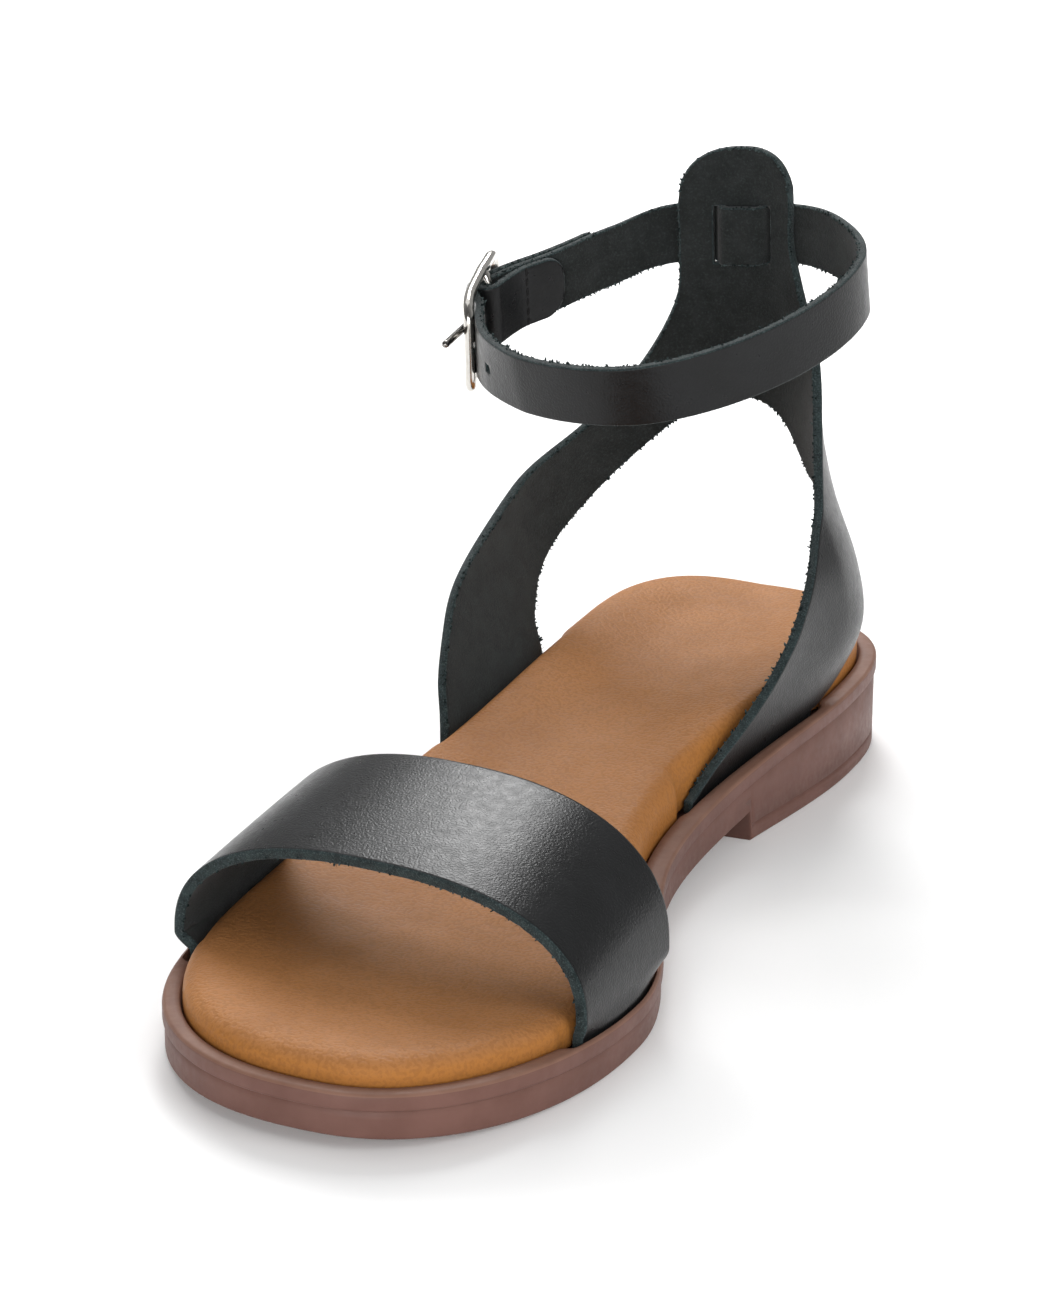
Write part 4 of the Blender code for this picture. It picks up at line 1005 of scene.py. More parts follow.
class Hoop:
    """Middle line of the ankle strap, with its outward and upward directions, by length along it."""

    def __init__(self):
        turns = BUCKLE_TURN + np.linspace(0, 2 * math.pi, HOOP_SAMPLES + 1)
        self.behind = np.sin(turns) > 0
        hung, hung_up = self.hanging(turns)
        held, held_up, hold = self.at_tab(hung, self.behind)
        middle = hung + hold[:, None] * (held - hung)
        up = unit(hung_up + hold[:, None] * (held_up - hung_up))
        tangent = self.tangents(middle)
        self.middle = middle
        self.out = unit(np.cross(tangent, up))
        self.up = up
        steps = np.linalg.norm(np.diff(middle, axis=0), axis=1)
        self.along = np.concatenate([[0.0], np.cumsum(steps)])
        self.length = self.along[-1]

    @staticmethod
    def tangents(line):
        ring = line[:-1]
        tangent = unit(np.roll(ring, -1, axis=0) - np.roll(ring, 1, axis=0))
        return np.vstack([tangent, tangent[:1]])

    def hanging(self, turns):
        """The free hoop: a superellipse in a sloping plane, square to it in front and upright behind."""
        power = 2 / HOOP_POWER
        cosine = np.cos(turns)
        sine = np.sin(turns)
        reach = np.where(sine > 0, HOOP_BACK, HOOP_FRONT) * (1 + HOOP_EGG * cosine)
        across = np.sign(cosine) * np.abs(cosine) ** power * HOOP_HALF_WIDTH
        along = np.sign(sine) * np.abs(sine) ** power * reach
        x = across * math.cos(HOOP_TURN) - along * math.sin(HOOP_TURN)
        y = across * math.sin(HOOP_TURN) + along * math.cos(HOOP_TURN)
        z = HOOP_SLOPE[0] * x + HOOP_SLOPE[1] * y
        lean = -HOOP_SLOPE * ((1 - sine) / 2)[:, None]
        up = unit(np.column_stack([lean, np.ones_like(sine)]))
        line = HOOP_CENTRE + np.column_stack([x, y, z])
        out = unit(np.cross(self.tangents(line), up))
        return line - out * STRAP_THICK / 2, up

    @staticmethod
    def at_tab(hung, behind):
        """The strap where it lies against the outside of the tab, and how far the tab holds it."""
        away = hung[:, 0] - tab_middle()
        hold = behind * (1 - smooth_step((np.abs(away) - TAB_FOLLOW) / (TAB_LEAVE - TAB_FOLLOW)))
        held = hung.copy()
        up = np.tile([0.0, 0.0, 1.0], (len(hung), 1))
        for leg in (LEG_MEDIAL, LEG_LATERAL):
            chosen = np.flatnonzero((hold > 0) & (away * leg.side.sign >= 0))
            half_width = table_curve(SECTIONS, leg.side.name, TAB_STRAP_Z)
            angle = np.degrees(np.arcsin(np.abs(away[chosen]) / half_width))
            level = TAB_STRAP_Z + TAB_TILT * away[chosen]
            face = quarter_surface(leg, angle, level)
            rise = unit(quarter_surface(leg, angle, level + 1) - face)
            turn = quarter_surface(leg, angle + leg.side.sign, level) - face
            out = unit(np.cross(rise, turn))
            held[chosen] = face + out * (GAP + STRAP_THICK / 2)
            up[chosen] = rise
        return held, up, hold

    def place(self, points):
        """Strap coordinates (along, out, up) to places in the shoe."""
        points = np.asarray(points, float)
        along = points[:, 0] % self.length

        def read(values):
            return np.column_stack([np.interp(along, self.along, values[:, axis]) for axis in range(3)])

        out = unit(read(self.out)) * points[:, 1:2]
        up = unit(read(self.up)) * points[:, 2:3]
        return read(self.middle) + out + up

    def along_at_tab(self, x):
        """Length along the strap where its middle line passes the tab at x from the tab's middle."""
        away = self.middle[:, 0] - tab_middle()
        chosen = np.flatnonzero(self.behind & (np.abs(away) < TAB_FOLLOW))
        return np.interp(-x, -away[chosen], self.along[chosen])


def even_steps(start, end):
    count = max(1, round(abs(end - start) / STRAP_STEP))
    return np.linspace(start, end, count + 1)


def billet_out(along):
    return float(table_curve(BILLET, "out", along))


def bar_twist(along, up):
    """How far the lower edge of billet and frame swings out towards the front bar."""
    swing = smooth_step(along / FRONT_BAR_ALONG)
    return FRAME_TWIST * (frame_half_height() - up) * swing


def billet_twist(along, up):
    """The billet follows the front bar and turns back to the hoop's line beyond it."""
    fade = 1 - smooth_step((along - FRONT_BAR_ALONG) / TWIST_FADE)
    return bar_twist(along, up) * fade * (along < FRONT_BAR_ALONG + TWIST_FADE)


def under_billet(along):
    """Line of the strap's buckle end, one layer inside the billet."""
    return billet_out(along) - LAYER_STEP


def strap_path(hoop):
    """Line of the strap from the billet's tip to the end of its sewn flap, as along and out."""
    length = hoop.length
    inside = -(STRAP_THICK + QUARTER_THICK + 2 * GAP)
    slot_middle = SLOT_INNER_X + SLOT_WIDTH / 2
    half_run = abs(inside) / math.tan(math.radians(WEAVE_SLOPE)) / 2
    enter, inner_start = [hoop.along_at_tab(slot_middle + run) for run in (half_run, -half_run)]
    inner_end, leave = [hoop.along_at_tab(run - slot_middle) for run in (half_run, -half_run)]
    path = [(along, billet_out(along)) for along in even_steps(-TAIL_LENGTH, BILLET[-1].along)]
    path += [(along, 0.0) for along in even_steps(BILLET[-1].along, enter)[1:]]
    path += [(along, inside) for along in even_steps(inner_start, inner_end)]
    path += [(along, under_billet(along - length)) for along in even_steps(leave, length - PRONG_SLIT)]
    pivot = pivot_out()
    for step in range(FOLD_STEPS + 1):
        turn = math.pi / 2 - math.pi * step / FOLD_STEPS
        path.append((length + FOLD_RADIUS * math.cos(turn), pivot + FOLD_RADIUS * math.sin(turn)))
    path.append((length - PRONG_SLIT, pivot - FOLD_RADIUS))
    for back in even_steps(STITCH_RUN, FLAP_LENGTH):
        path.append((length - back, under_billet(-back) - LAYER_STEP))
    return resample(cut_corners(np.array(path)), STRAP_FINE_STEP)


def pivot_out():
    """The pivot bar lies in the fold of the strap's buckle end."""
    return under_billet(0.0) - FOLD_RADIUS


def strap_openings(path, hoop, across):
    """Cells of the strap left open: the prong's hole, the slit in the fold and the punched holes."""
    start = path[:-1, 0]
    end = path[1:, 0]
    hole = (start >= HOLE_START) & (end <= HOLE_END)
    slit_edge = hoop.length - PRONG_SLIT
    slit = (start >= slit_edge) & (end > start)
    first = sum(STRAP_ROW_STEPS[:SLOT_ROW])
    rows = range(first, first + STRAP_ROW_STEPS[SLOT_ROW])
    skip = {(int(cell), row) for cell in np.flatnonzero(hole | slit) for row in rows}
    middle = (start + end) / 2
    level = (across[:-1] + across[1:]) / 2
    for punch in PUNCHES:
        for cell in np.flatnonzero(np.abs(middle - punch) < PUNCH_RADIUS):
            reach = np.hypot(middle[cell] - punch, level - PUNCH_UP)
            skip |= {(int(cell), int(row)) for row in np.flatnonzero(reach < PUNCH_RADIUS)}
    return skip


def draw_to_punches(plan):
    """Move the points of the strap nearest each punched hole onto its round edge."""
    plan = plan.copy()
    for punch in PUNCHES:
        offset = plan - np.array([punch, PUNCH_UP])
        reach = np.linalg.norm(offset, axis=1)
        near = reach < PUNCH_RADIUS + STRAP_FINE_STEP / 2
        near &= reach > PUNCH_RADIUS - STRAP_FINE_STEP
        plan[near] += offset[near] * (PUNCH_RADIUS / reach[near] - 1)[:, None]
    return plan


def corner_share(from_end, radius):
    """Part of the strap's width left beside the rounded corners of one end."""
    short = radius - np.minimum(from_end, radius)
    return 1 - (radius - np.sqrt(radius ** 2 - short ** 2)) / (STRAP_WIDTH / 2)


def ankle_strap(hoop):
    path = strap_path(hoop)
    across = split_spans(STRAP_ROWS, STRAP_ROW_STEPS) * STRAP_WIDTH
    faces = grid_faces(len(path), len(across), strap_openings(path, hoop, across))
    from_tail = np.arange(len(path)) * STRAP_FINE_STEP
    narrowing = corner_share(from_tail, TAIL_ROUND) * corner_share(from_tail[::-1], FLAP_ROUND)
    tangent = unit(np.gradient(path, axis=0))
    sideways = np.column_stack([-tangent[:, 1], tangent[:, 0]])
    level = np.tile(across, len(path)) * np.repeat(narrowing, len(across))
    plan = np.column_stack([np.repeat(path[:, 0], len(across)), level])
    on_billet = np.repeat(from_tail < BILLET_SHARE * from_tail[-1], len(across))
    shift = np.where(on_billet[:, None], draw_to_punches(plan) - plan, 0.0)
    sheets = []
    for face in (1, -1):
        line = np.repeat(path + face * sideways * STRAP_THICK / 2, len(across), axis=0)
        points = np.column_stack([line[:, 0] + shift[:, 0], line[:, 1], level + shift[:, 1]])
        points[:, 1] += billet_twist(points[:, 0], points[:, 2])
        sheets.append(hoop.place(points))
    return leather(sheets[0], sheets[1], faces)


def tube(path, radii, guide, sides, closed=False, flat=1.0):
    """Bar along a line, flat times as wide as thick; guide is a direction the line never takes."""
    path = np.asarray(path, float)
    radii = np.broadcast_to(radii, len(path))
    if closed:
        tangent = unit(np.roll(path, -1, axis=0) - np.roll(path, 1, axis=0))
    else:
        tangent = unit(np.gradient(path, axis=0))
    first = unit(guide - np.sum(guide * tangent, axis=1)[:, None] * tangent)
    second = np.cross(tangent, first) * flat
    turns = np.linspace(0, 2 * math.pi, sides, endpoint=False)
    rings = [path + radii[:, None] * (math.cos(turn) * first + math.sin(turn) * second) for turn in turns]
    points = np.stack(rings, axis=1).reshape(-1, 3)
    faces = ring_faces(len(path), sides, closed)
    if not closed:
        faces.append(list(range(sides))[::-1])
        faces.append(list(range((len(path) - 1) * sides, len(path) * sides)))
    return points, faces


def frame_out(along):
    """Distance out of the frame's sides, which turn outward towards the back bar."""
    front = billet_out(FRONT_BAR_ALONG) + BAR_REST
    back = billet_out(BACK_BAR_ALONG) + BAR_REST + BACK_BAR_LIFT
    share = (FRONT_BAR_ALONG - along) / (FRONT_BAR_ALONG - BACK_BAR_ALONG)
    return front + (back - front) * max(share, 0.0) ** FRAME_BOW


def frame_half_height():
    return STRAP_WIDTH / 2 + FRAME_CLEARANCE + BAR_RADIUS


def buckle_frame(hoop):
    """Rounded rectangle with a bar outside the billet at each end, and the dropped pivot bar across it."""
    front = FRONT_BAR_ALONG - FRAME_CORNER
    back = BACK_BAR_ALONG + FRAME_CORNER
    side = frame_half_height() - FRAME_CORNER
    flat = []
    corners = ((front, side, 0.0), (back, side, 90.0), (back, -side, 180.0), (front, -side, 270.0))
    for along, across, start in corners:
        for step in range(CORNER_STEPS + 1):
            turn = math.radians(start + 90.0 * step / CORNER_STEPS)
            flat.append((along + FRAME_CORNER * math.cos(turn), across + FRAME_CORNER * math.sin(turn)))
    path = []
    for here, following in zip(flat, flat[1:] + flat[:1]):
        steps = FRAME_SIDE_STEPS if math.dist(here, following) > 2 * FRAME_CORNER else 1
        for step in range(steps):
            along, across = [a + (b - a) * step / steps for a, b in zip(here, following)]
            out = frame_out(along) + bar_twist(along, across)
            path.append((along, out, across - FRAME_SAG * abs(along)))
    ring, ring_faces = tube(path, WIRE_RADIUS, OUT_WAY, TUBE_SIDES, closed=True, flat=FRAME_FLAT)
    reach = frame_half_height()
    hold = STRAP_WIDTH / 2 + PIVOT_SPARE
    bar_path = [(0.0, pivot_out(), across) for across in (-hold, 0.0, hold)]
    bar_path = [(0.0, frame_out(0.0), -reach)] + bar_path + [(0.0, frame_out(0.0), reach)]
    bar_path = resample(cut_corners(np.array(bar_path)), PIVOT_RADIUS / STEPS_PER_RADIUS)
    bar, bar_faces = tube(bar_path, PIVOT_RADIUS, OUT_WAY, TUBE_SIDES)
    return together([(hoop.place(ring), ring_faces), (hoop.place(bar), bar_faces)])


def buckle_prong(hoop):
    """Hook round the pivot bar, then a straight shank through the billet's hole and over the front bar."""
    hook = PIVOT_RADIUS + GAP + PRONG_RADIUS
    path = []
    for step in range(HOOK_STEPS + 1):
        turn = math.radians(HOOK_START + (90.0 - HOOK_START) * step / HOOK_STEPS)
        path.append((hook * math.cos(turn), pivot_out() + hook * math.sin(turn), 0.0))
    over_bar = frame_out(FRONT_BAR_ALONG) + bar_twist(FRONT_BAR_ALONG, PRONG_AT_BAR)
    over_bar += BAR_RADIUS + GAP + PRONG_RADIUS
    start, at_bar = hoop.place([PRONG_START, (FRONT_BAR_ALONG, over_bar, PRONG_AT_BAR)])
    shares = np.linspace(0, PRONG_REACH, PRONG_STEPS)[:, None]
    path = np.vstack([hoop.place(path), start + shares * (at_bar - start)])
    path = resample(cut_corners(path), PRONG_RADIUS / STEPS_PER_RADIUS)
    place = np.arange(len(path))
    from_end = np.minimum(place, place[::-1]) * PRONG_RADIUS / STEPS_PER_RADIUS
    radii = PRONG_RADIUS * np.sqrt(1 - (1 - np.clip(from_end / PRONG_RADIUS, PRONG_TIP, 1)) ** 2)
    return tube(path, radii, UP_WAY, TUBE_SIDES)


def stitches(hoop):
    """Thread across the flap, where it is sewn to the strap behind the buckle."""
    shapes = []
    along = hoop.length - STITCH_RUN
    out = under_billet(-STITCH_RUN) - LAYER_STEP - STRAP_THICK / 2
    for level in np.linspace(-STITCH_REACH, STITCH_REACH, STITCH_COUNT):
        path = [(along, out, level + share * STITCH_LENGTH) for share, _ in STITCH_SHAPE]
        radii = STITCH_RADIUS * np.array([thickness for _, thickness in STITCH_SHAPE])
        points, faces = tube(path, radii, OUT_WAY, STITCH_SIDES)
        shapes.append((hoop.place(points), faces))
    return together(shapes)


def fibres(edge, density, chosen, seed):
    """Loose fibres and crumbs that stand out from the flesh side of a cut edge."""
    pick = random.Random(seed)
    shapes = []
    for row in FIBRES:
        for index in np.flatnonzero(chosen):
            expected = row.per_mm * density * edge.span[index]
            for _ in range(int(expected + pick.random())):
                shapes.append(one_fibre(edge, index, row, pick))
    return together(shapes)


def one_fibre(edge, index, row, pick):
    """A short bent hair or a stubby crumb on one place of an edge."""
    away = edge.away[index]
    along = edge.along[index]
    inward = edge.inner[index] - edge.outer[index]
    half_span = edge.span[index] / 2
    root = edge.outer[index] + pick.uniform(*FIBRE_DEPTHS) * inward
    root = root + along * pick.uniform(-half_span, half_span) - away * (FIBRE_ROOT + row.radius)
    way = away + unit(inward) * pick.uniform(*FIBRE_INWARD) + along * pick.uniform(-1, 1)
    bend = np.array([pick.uniform(-row.bend, row.bend) for _ in range(3)])
    length = row.short + (row.long - row.short) * pick.random() ** 2
    middle = root + unit(way) * length / 2
    tip = middle + unit(unit(way) + bend) * length / 2
    radii = row.radius * pick.uniform(*FIBRE_SIZES) * np.array([1.0, FIBRE_WAIST, row.tip])
    return tube([root, middle, tip], radii, np.cross(way, bend), row.sides)


# Materials

# Places of the colour sockets of a mix node, whose names repeat
MIX_FIRST = 6
MIX_SECOND = 7
MIX_RESULT = 2


class Look:
    """A material with its shader, and a short way to add nodes to it."""

    def __init__(self, name, settings):
        self.material = bpy.data.materials.new(name)
        self.material.use_nodes = True
        self.tree = self.material.node_tree
        self.shader = self.tree.nodes["Principled BSDF"]
        for socket, value in settings.items():
            self.shader.inputs[socket].default_value = value
        self.place = self.tree.nodes.new("ShaderNodeTexCoord").outputs["Object"]

    def add(self, kind, inputs, settings=None):
        """Add a node; an input is a value or the output of another node."""
        node = self.tree.nodes.new(kind)
        for name, value in (settings or {}).items():
            setattr(node, name, value)
        for name, value in inputs.items():
            self.feed(node.inputs[name], value)
        return node

    def feed(self, socket, value):
        if isinstance(value, bpy.types.NodeSocket):
            self.tree.links.new(value, socket)
        else:
            socket.default_value = value

    def clouds(self, pitch, detail=3.0, roughness=0.55, stretch=None):
        """Soft noise whose patches are about pitch millimetres across."""
        place = self.place
        if stretch:
            place = self.add("ShaderNodeMapping", {"Vector": place, "Scale": stretch}).outputs["Vector"]
        inputs = {"Vector": place, "Scale": 1 / (pitch * METRES), "Detail": detail, "Roughness": roughness}
        return self.add("ShaderNodeTexNoise", inputs).outputs["Fac"]

    def remap(self, value, low, high, to_low=0.0, to_high=1.0):
        """Stretch the span from low to high onto another one, held at its ends."""
        inputs = {"Value": value, "From Min": low, "From Max": high, "To Min": to_low, "To Max": to_high}
        return self.add("ShaderNodeMapRange", inputs).outputs["Result"]

    def mix(self, share, first, second):
        """Colour between first and second."""
        node = self.add("ShaderNodeMix", {}, {"data_type": "RGBA"})
        self.feed(node.inputs["Factor"], share)
        for place, tone in ((MIX_FIRST, first), (MIX_SECOND, second)):
            self.feed(node.inputs[place], tone if isinstance(tone, bpy.types.NodeSocket) else (*tone, 1.0))
        return node.outputs[MIX_RESULT]

    def bump(self, height, strength, depth, normal=None):
        """Relief of a height between 0 and 1, depth millimetres deep."""
        inputs = {"Height": height, "Strength": strength, "Distance": depth * METRES}
        if normal:
            inputs["Normal"] = normal
        return self.add("ShaderNodeBump", inputs).outputs["Normal"]

    def facing_up(self):
        """One on faces that look up, none on upright ones."""
        normal = self.tree.nodes.new("ShaderNodeNewGeometry").outputs["Normal"]
        return self.add("ShaderNodeSeparateXYZ", {"Vector": normal}).outputs["Z"]

    def specks(self, pitch, size, share):
        """One on small round specks of the given size, in a share of the cells of a pitch."""
        inputs = {"Vector": self.place, "Scale": 1 / (pitch * METRES)}
        cells = self.add("ShaderNodeTexVoronoi", inputs, {"feature": "F1"})
        near = self.add("ShaderNodeMath", {0: cells.outputs["Distance"], 1: size / pitch},
                        {"operation": "LESS_THAN"}).outputs[0]
        tone = self.add("ShaderNodeSeparateColor", {"Color": cells.outputs["Color"]}).outputs["Red"]
        chosen = self.add("ShaderNodeMath", {0: tone, 1: share}, {"operation": "LESS_THAN"}).outputs[0]
        return self.add("ShaderNodeMath", {0: near, 1: chosen}, {"operation": "MULTIPLY"}).outputs[0]

    def use(self, colour=None, roughness=None, normal=None):
        for socket, value in (("Base Color", colour), ("Roughness", roughness), ("Normal", normal)):
            if value is not None:
                self.feed(self.shader.inputs[socket], value)
        return self.material


def grain_leather():
    """Black leather with a fine grain and a satin finish."""
    look = Look("grain_leather", {"Specular IOR Level": 0.28})
    patches = look.remap(look.clouds(14.0), 0.35, 0.65)
    black = look.mix(patches, (0.006, 0.0064, 0.0068), (0.0095, 0.01, 0.0108))
    dust = look.specks(7.0, 0.15, 0.3)
    colour = look.mix(dust, black, (0.32, 0.34, 0.34))
    roughness = look.remap(look.clouds(2.0, 2.0), 0.3, 0.7, 0.27, 0.36)
    grain = look.remap(look.clouds(0.45, 0.0), 0.4, 0.6)
    normal = look.bump(grain, 0.45, 0.038)
    return look.use(colour, roughness, normal)


def flesh_leather():
    """Suede-like inner side of the straps."""
    look = Look("flesh_leather", {"Specular IOR Level": 0.12, "Sheen Weight": 0.12, "Sheen Roughness": 0.6})
    nap = look.clouds(0.5, 5.0, 0.7)
    patches = look.clouds(5.0, 4.0, 0.65)
    base = look.mix(look.remap(patches, 0.35, 0.65), (0.009, 0.011, 0.011), (0.017, 0.02, 0.02))
    colour = look.mix(look.remap(nap, 0.5, 0.75, 0.0, 0.6), base, (0.045, 0.055, 0.054))
    dust = look.specks(3.5, 0.1, 0.25)
    colour = look.mix(dust, colour, (0.12, 0.14, 0.14))
    roughness = look.remap(nap, 0.3, 0.7, 0.85, 1.0)
    normal = look.bump(nap, 0.8, 0.22)
    return look.use(colour, roughness, normal)


def cut_edge_leather():
    """Raw cut edge: dyed fibres, a little lighter and bluer than the faces."""
    sheen = {"Sheen Weight": 0.15, "Sheen Roughness": 0.5}
    look = Look("cut_edge_leather", {"Specular IOR Level": 0.15, **sheen})
    fibre = look.clouds(0.3, 4.0, 0.7)
    patches = look.clouds(2.5, 3.0)
    base = look.mix(look.remap(patches, 0.35, 0.65), (0.010, 0.016, 0.017), (0.022, 0.034, 0.035))
    colour = look.mix(look.remap(fibre, 0.5, 0.7, 0.0, 0.9), base, (0.08, 0.11, 0.112))
    normal = look.bump(fibre, 0.9, 0.2)
    return look.use(colour, look.remap(fibre, 0.3, 0.7, 0.75, 0.95), normal)


def fibre_leather():
    """Loose fibres on the raw edges."""
    look = Look("fibre_leather", {"Specular IOR Level": 0.1})
    tone = look.remap(look.clouds(1.2, 2.0), 0.4, 0.7)
    colour = look.mix(tone, (0.010, 0.015, 0.015), (0.075, 0.1, 0.1))
    return look.use(colour, look.remap(look.clouds(0.4), 0.3, 0.7, 0.8, 1.0))


def insole_leather():
    """Soft tan leather with a pebbled grain, fine creases and a satin sheen, with painted shade on its steep
    walls and in the grain's valleys.
    """
    look = Look("insole_leather_fine", {"Specular IOR Level": 0.1})
    patches = look.remap(look.clouds(26.0, 3.0), 0.35, 0.65)
    top = look.mix(patches, (0.355, 0.153, 0.052), (0.425, 0.19, 0.07))
    # Painted shade: the footbed's steep side walls get a deeper, more saturated orange than its top, by the
    # way they face.
    painted_wall_shade = look.remap(look.facing_up(), 0.35, 0.85, 1.0, 0.0)
    base = look.mix(painted_wall_shade, top, (0.40, 0.163, 0.04))
    pores = look.remap(look.clouds(0.5, 3.0), 0.3, 0.5, 0.35, 0.0)
    colour = look.mix(pores, base, (0.26, 0.11, 0.035))
    grain = look.remap(look.clouds(0.75, 0.0), 0.4, 0.6)
    # Painted shade: the grain's low places, the valleys of the pebble relief, are darkened.
    painted_valley_shade = look.remap(grain, 0.0, 0.4, 0.3, 0.0)
    colour = look.mix(painted_valley_shade, colour, (0.24, 0.1, 0.031))
    roughness = look.remap(look.clouds(3.0, 4.0), 0.3, 0.7, 0.42, 0.55)
    fine = look.bump(look.clouds(0.45, 2.0), 0.4, 0.12)
    pebble = look.bump(grain, look.remap(look.facing_up(), 0.5, 0.95, 0.15, 0.7), 0.09, fine)
    creases = look.bump(look.clouds(6.0, 5.0, 0.6, (1.0, 0.35, 1.0)), 0.15, 0.3, pebble)
    return look.use(colour, roughness, creases)


SOLE_SIDE = ((0.142, 0.068, 0.053), (0.168, 0.083, 0.066))
# Painted light: a lighter, more tan copy of the rubber for the rim's top, standing in for light from above
# and off the insole.
SOLE_TOP_PAINTED_LIGHT = ((0.19, 0.098, 0.069), (0.23, 0.124, 0.088))


def sole_rubber(name, tones):
    """Moulded mauve-brown rubber, matte, with a faint mottle and small flecks."""
    look = Look(name, {"Specular IOR Level": 0.22})
    patches = look.remap(look.clouds(9.0, 4.0), 0.35, 0.65)
    base = look.mix(patches, *tones)
    flecks = look.specks(6.0, 0.12, 0.3)
    colour = look.mix(flecks, base, (0.34, 0.22, 0.18))
    roughness = look.remap(look.clouds(1.5, 4.0), 0.3, 0.7, 0.42, 0.56)
    fine = look.bump(look.clouds(0.35, 3.0), 0.2, 0.06)
    normal = look.bump(look.clouds(3.5, 2.0), 0.12, 0.15, fine)
    return look.use(colour, roughness, normal)


FRAME_METAL = ((0.74, 0.72, 0.68), (0.58, 0.55, 0.51))
# Painted shade: the prong's nickel is a much darker copy of the frame's, standing in for the shade the prong
# lies in.
PRONG_METAL_PAINTED_SHADE = ((0.30, 0.285, 0.27), (0.2, 0.19, 0.18))


def nickel(name, tones):
    """Polished nickel with fine wear."""
    look = Look(name, {"Metallic": 1.0})
    wear = look.clouds(0.7, 5.0, 0.65, (1.0, 1.0, 0.25))
    colour = look.mix(look.remap(wear, 0.35, 0.7), *tones)
    roughness = look.remap(wear, 0.3, 0.7, 0.1, 0.22)
    normal = look.bump(look.clouds(1.6, 2.0), 0.04, 0.04)
    return look.use(colour, roughness, normal)


def thread():
    """Twisted black sewing thread."""
    look = Look("sewing_thread", {"Specular IOR Level": 0.25})
    twist = look.clouds(0.25, 2.0, 0.5, (1.0, 1.0, 2.5))
    colour = look.mix(look.remap(twist, 0.4, 0.65), (0.004, 0.004, 0.004), (0.02, 0.02, 0.021))
    return look.use(colour, look.remap(twist, 0.3, 0.7, 0.6, 0.8), look.bump(twist, 0.8, 0.15))


# Objects

def add_piece(name, points, faces, materials, slot, finish=None, nodes=()):
    """Make a smooth mesh piece that rides with the shoe and stands for the named solids."""
    mesh = bpy.data.meshes.new(name)
    mesh.from_pydata(((points + CENTRE_SHIFT) * METRES).tolist(), [], faces)
    for material in materials:
        mesh.materials.append(material)
    if finish:
        mesh.polygons.foreach_set("material_index", finish)
    mesh.validate()
    mesh.shade_smooth()
    piece = bpy.data.objects.new(name, mesh)
    bpy.context.scene.collection.objects.link(piece)
    turn_outward(piece)
    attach(piece, "root")
    for node in nodes:
        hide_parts(node)
    return piece


def turn_outward(piece):
    """Make every face of a closed mesh look outward."""
    body = bmesh.new()
    body.from_mesh(piece.data)
    bmesh.ops.recalc_face_normals(body, faces=body.faces)
    body.to_mesh(piece.data)
    body.free()


def build_shoe():
    straps = [grain_leather(), flesh_leather(), cut_edge_leather()]
    loose = fibre_leather()
    points, faces, finish = outsole()
    # The second rubber is the lighter copy, with painted light on the rim's top.
    rubber = [sole_rubber("sole_rubber_fine", SOLE_SIDE), sole_rubber("sole_rubber_top_painted_light", SOLE_TOP_PAINTED_LIGHT)]
    add_piece("sole_unit", points, faces, rubber, "sole_rubber", finish, ["outsole"])
    footbed = add_piece("footbed", *insole(), [insole_leather()], "insole_leather", nodes=["insole"])
    hoop = Hoop()
    # Piece, the solid it stands for, its form, and how densely loose fibres stand on its edges
    shapes = (
        ("toe_band", "front_band", front_band(), 0.3),
        ("wishbone", "heel_quarter", heel_quarter(), 1.0),
        ("strap_loop", "ankle_strap", ankle_strap(hoop), 0.9),
    )
    for name, node, (points, faces, finish, edge), density in shapes:
        add_piece(name, points, faces, straps, "strap_leather", finish, [node])
        free = edge.border & (edge.outer[:, 2] > rim_height(edge.outer[:, 1]) + FIBRE_ABOVE_RIM)
        add_piece(name + "_fibres", *fibres(edge, density, free, SEED), [loose], "strap_leather")
    bright = nickel("polished_nickel", FRAME_METAL)
    # The prong takes the darker copy of the nickel, with painted shade.
    dark = nickel("prong_nickel_painted_shade", PRONG_METAL_PAINTED_SHADE)
    add_piece("buckle_wire", *buckle_frame(hoop), [bright], "buckle_nickel", nodes=["buckle_frame"])
    add_piece("buckle_tongue", *buckle_prong(hoop), [dark], "buckle_nickel", nodes=["buckle_prong"])
    add_piece("strap_stitches", *stitches(hoop), [thread()], "strap_leather")


# Studio

# Floor, in metres: pale, with a glow that grows with the distance from the shoe
FLOOR_HALF = 15.0
FLOOR_COLOUR = (0.9, 0.9, 0.9)
FLOOR_GLOW = 0.08
FLOOR_GLOW_FAR = 0.75
GLOW_START = 0.7
GLOW_END = 1.5

# Surrounding light: strength in front and behind, and the part of the way round over which it turns
WORLD_FRONT = 0.1
WORLD_BACK = 0.38
BACKDROP_FRONT = -0.6
BACKDROP_BACK = 0.5

# One row for each soft light: place and target in millimetres, size in metres, power in watts, and whether
# glossy surfaces mirror it
LightRow = namedtuple("LightRow", "name place target width height power mirrored")
LIGHTS = [
    LightRow("overhead", (-500.0, 400.0, 1500.0), (0.0, 0.0, 40.0), 1.4, 1.4, 4.6, True),
    LightRow("back", (-340.0, 940.0, 960.0), (10.0, -56.0, 40.0), 0.42, 0.6, 8.2, True),
    LightRow("low back", (-760.0, 1000.0, 640.0), (0.0, -60.0, 20.0), 0.8, 0.5, 15.5, False),
    LightRow("front fill", (250.0, -1400.0, 380.0), (0.0, 0.0, 40.0), 1.2, 0.7, 13.0, True),
    LightRow("side fill", (1000.0, -250.0, 650.0), (0.0, 0.0, 40.0), 0.9, 0.9, 6.0, False),
]


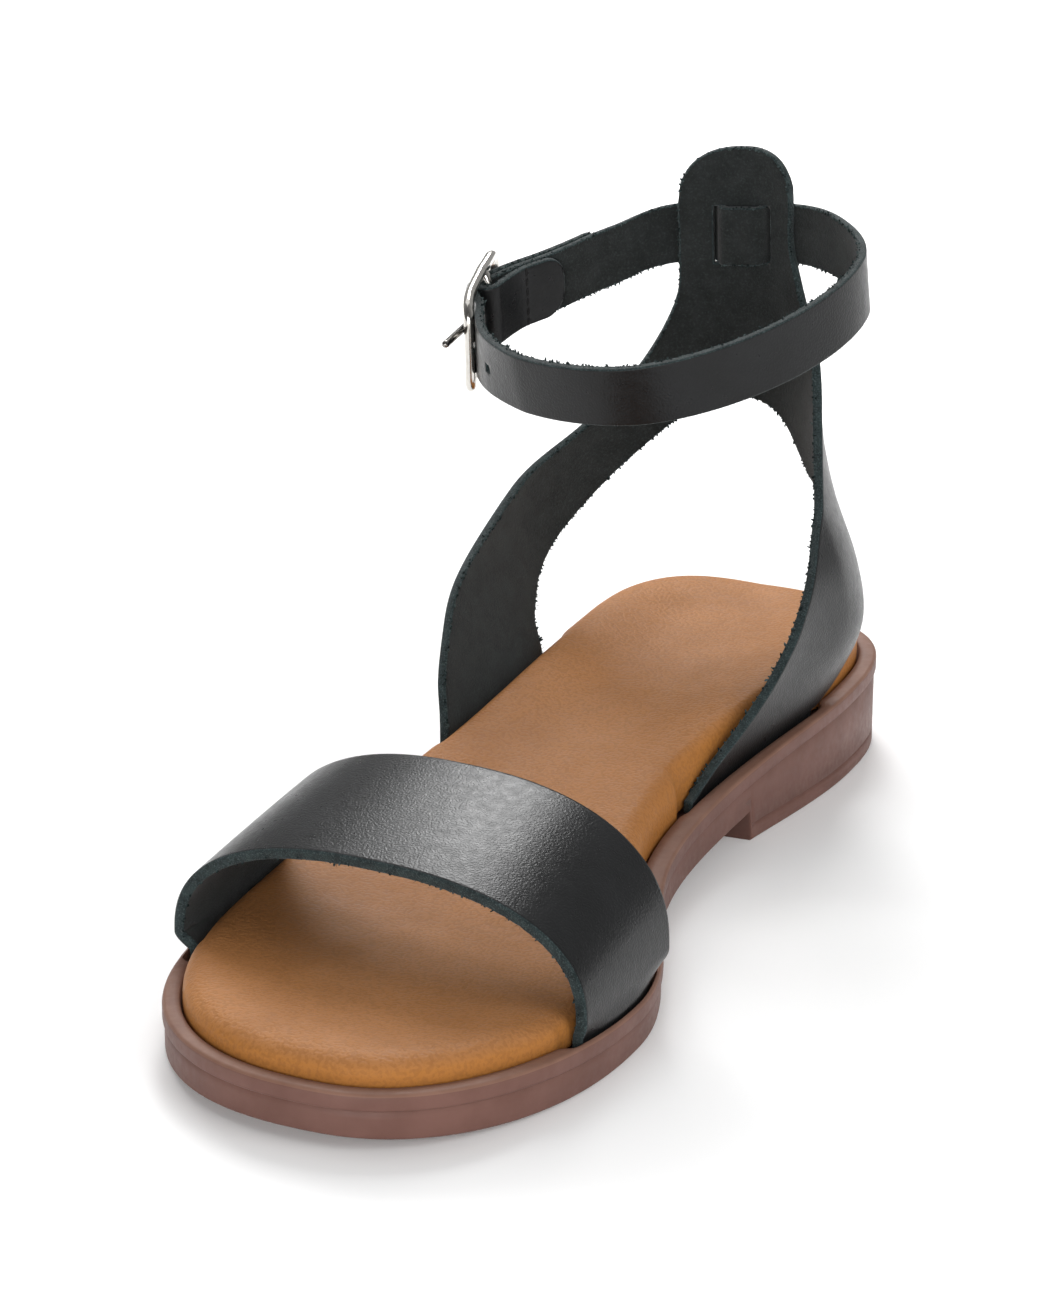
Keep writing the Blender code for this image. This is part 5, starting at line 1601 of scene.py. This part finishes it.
def add_floor():
    mesh = bpy.data.meshes.new("floor")
    half = FLOOR_HALF
    corners = [(-half, -half, 0), (half, -half, 0), (half, half, 0), (-half, half, 0)]
    mesh.from_pydata(corners, [], [(0, 1, 2, 3)])
    look = Look("floor", {"Base Color": (*FLOOR_COLOUR, 1.0), "Roughness": 0.9, "Specular IOR Level": 0.0,
                          "Emission Color": (1.0, 1.0, 1.0, 1.0)})
    distance = look.add("ShaderNodeVectorMath", {0: look.place}, {"operation": "LENGTH"}).outputs["Value"]
    glow = look.remap(distance, GLOW_START, GLOW_END, FLOOR_GLOW, FLOOR_GLOW_FAR)
    look.feed(look.shader.inputs["Emission Strength"], glow)
    mesh.materials.append(look.material)
    floor = bpy.data.objects.new("floor", mesh)
    bpy.context.scene.collection.objects.link(floor)


def add_lights():
    world = bpy.data.worlds.new("studio")
    world.use_nodes = True
    tree = world.node_tree
    direction = tree.nodes.new("ShaderNodeTexCoord").outputs["Generated"]
    split = tree.nodes.new("ShaderNodeSeparateXYZ")
    tree.links.new(direction, split.inputs["Vector"])
    backdrop = tree.nodes.new("ShaderNodeMapRange")
    backdrop.inputs["From Min"].default_value = BACKDROP_FRONT
    backdrop.inputs["From Max"].default_value = BACKDROP_BACK
    backdrop.inputs["To Min"].default_value = WORLD_FRONT
    backdrop.inputs["To Max"].default_value = WORLD_BACK
    tree.links.new(split.outputs["Y"], backdrop.inputs["Value"])
    background = tree.nodes["Background"]
    background.inputs["Color"].default_value = (1.0, 1.0, 1.0, 1.0)
    tree.links.new(backdrop.outputs["Result"], background.inputs["Strength"])
    bpy.context.scene.world = world
    for row in LIGHTS:
        lamp = bpy.data.lights.new(row.name, "AREA")
        lamp.shape = "RECTANGLE"
        lamp.size = row.width
        lamp.size_y = row.height
        lamp.energy = row.power
        light = bpy.data.objects.new(row.name, lamp)
        light.visible_glossy = row.mirrored
        place = Vector(np.array(row.place) * METRES)
        way = Vector(np.array(row.target) * METRES) - place
        light.matrix_world = Matrix.Translation(place) @ way.to_track_quat("-Z", "Y").to_matrix().to_4x4()
        bpy.context.scene.collection.objects.link(light)


def add_camera():
    azimuth = math.radians(CAMERA_AZIMUTH)
    height = math.radians(CAMERA_HEIGHT)
    roll = math.radians(CAMERA_ROLL)
    level = math.cos(height)
    back = Vector((math.sin(azimuth) * level, -math.cos(azimuth) * level, math.sin(height)))
    side = Vector((0, 0, 1)).cross(back).normalized()
    top = back.cross(side)
    right = math.cos(roll) * side + math.sin(roll) * top
    up = -math.sin(roll) * side + math.cos(roll) * top
    place = (Vector(CAMERA_TARGET + CENTRE_SHIFT) + CAMERA_DISTANCE * back) * METRES
    lens = bpy.data.cameras.new("camera")
    lens.sensor_width = SENSOR
    lens.lens = CAMERA_FOCAL_PIXELS * SENSOR / IMAGE_HEIGHT
    camera = bpy.data.objects.new("camera", lens)
    camera.matrix_world = Matrix.Translation(place) @ Matrix((right, up, back)).transposed().to_4x4()
    bpy.context.scene.collection.objects.link(camera)
    bpy.context.scene.camera = camera


build_shoe()
add_floor()
add_lights()
add_camera()
bpy.context.scene.view_settings.view_transform = "Standard"
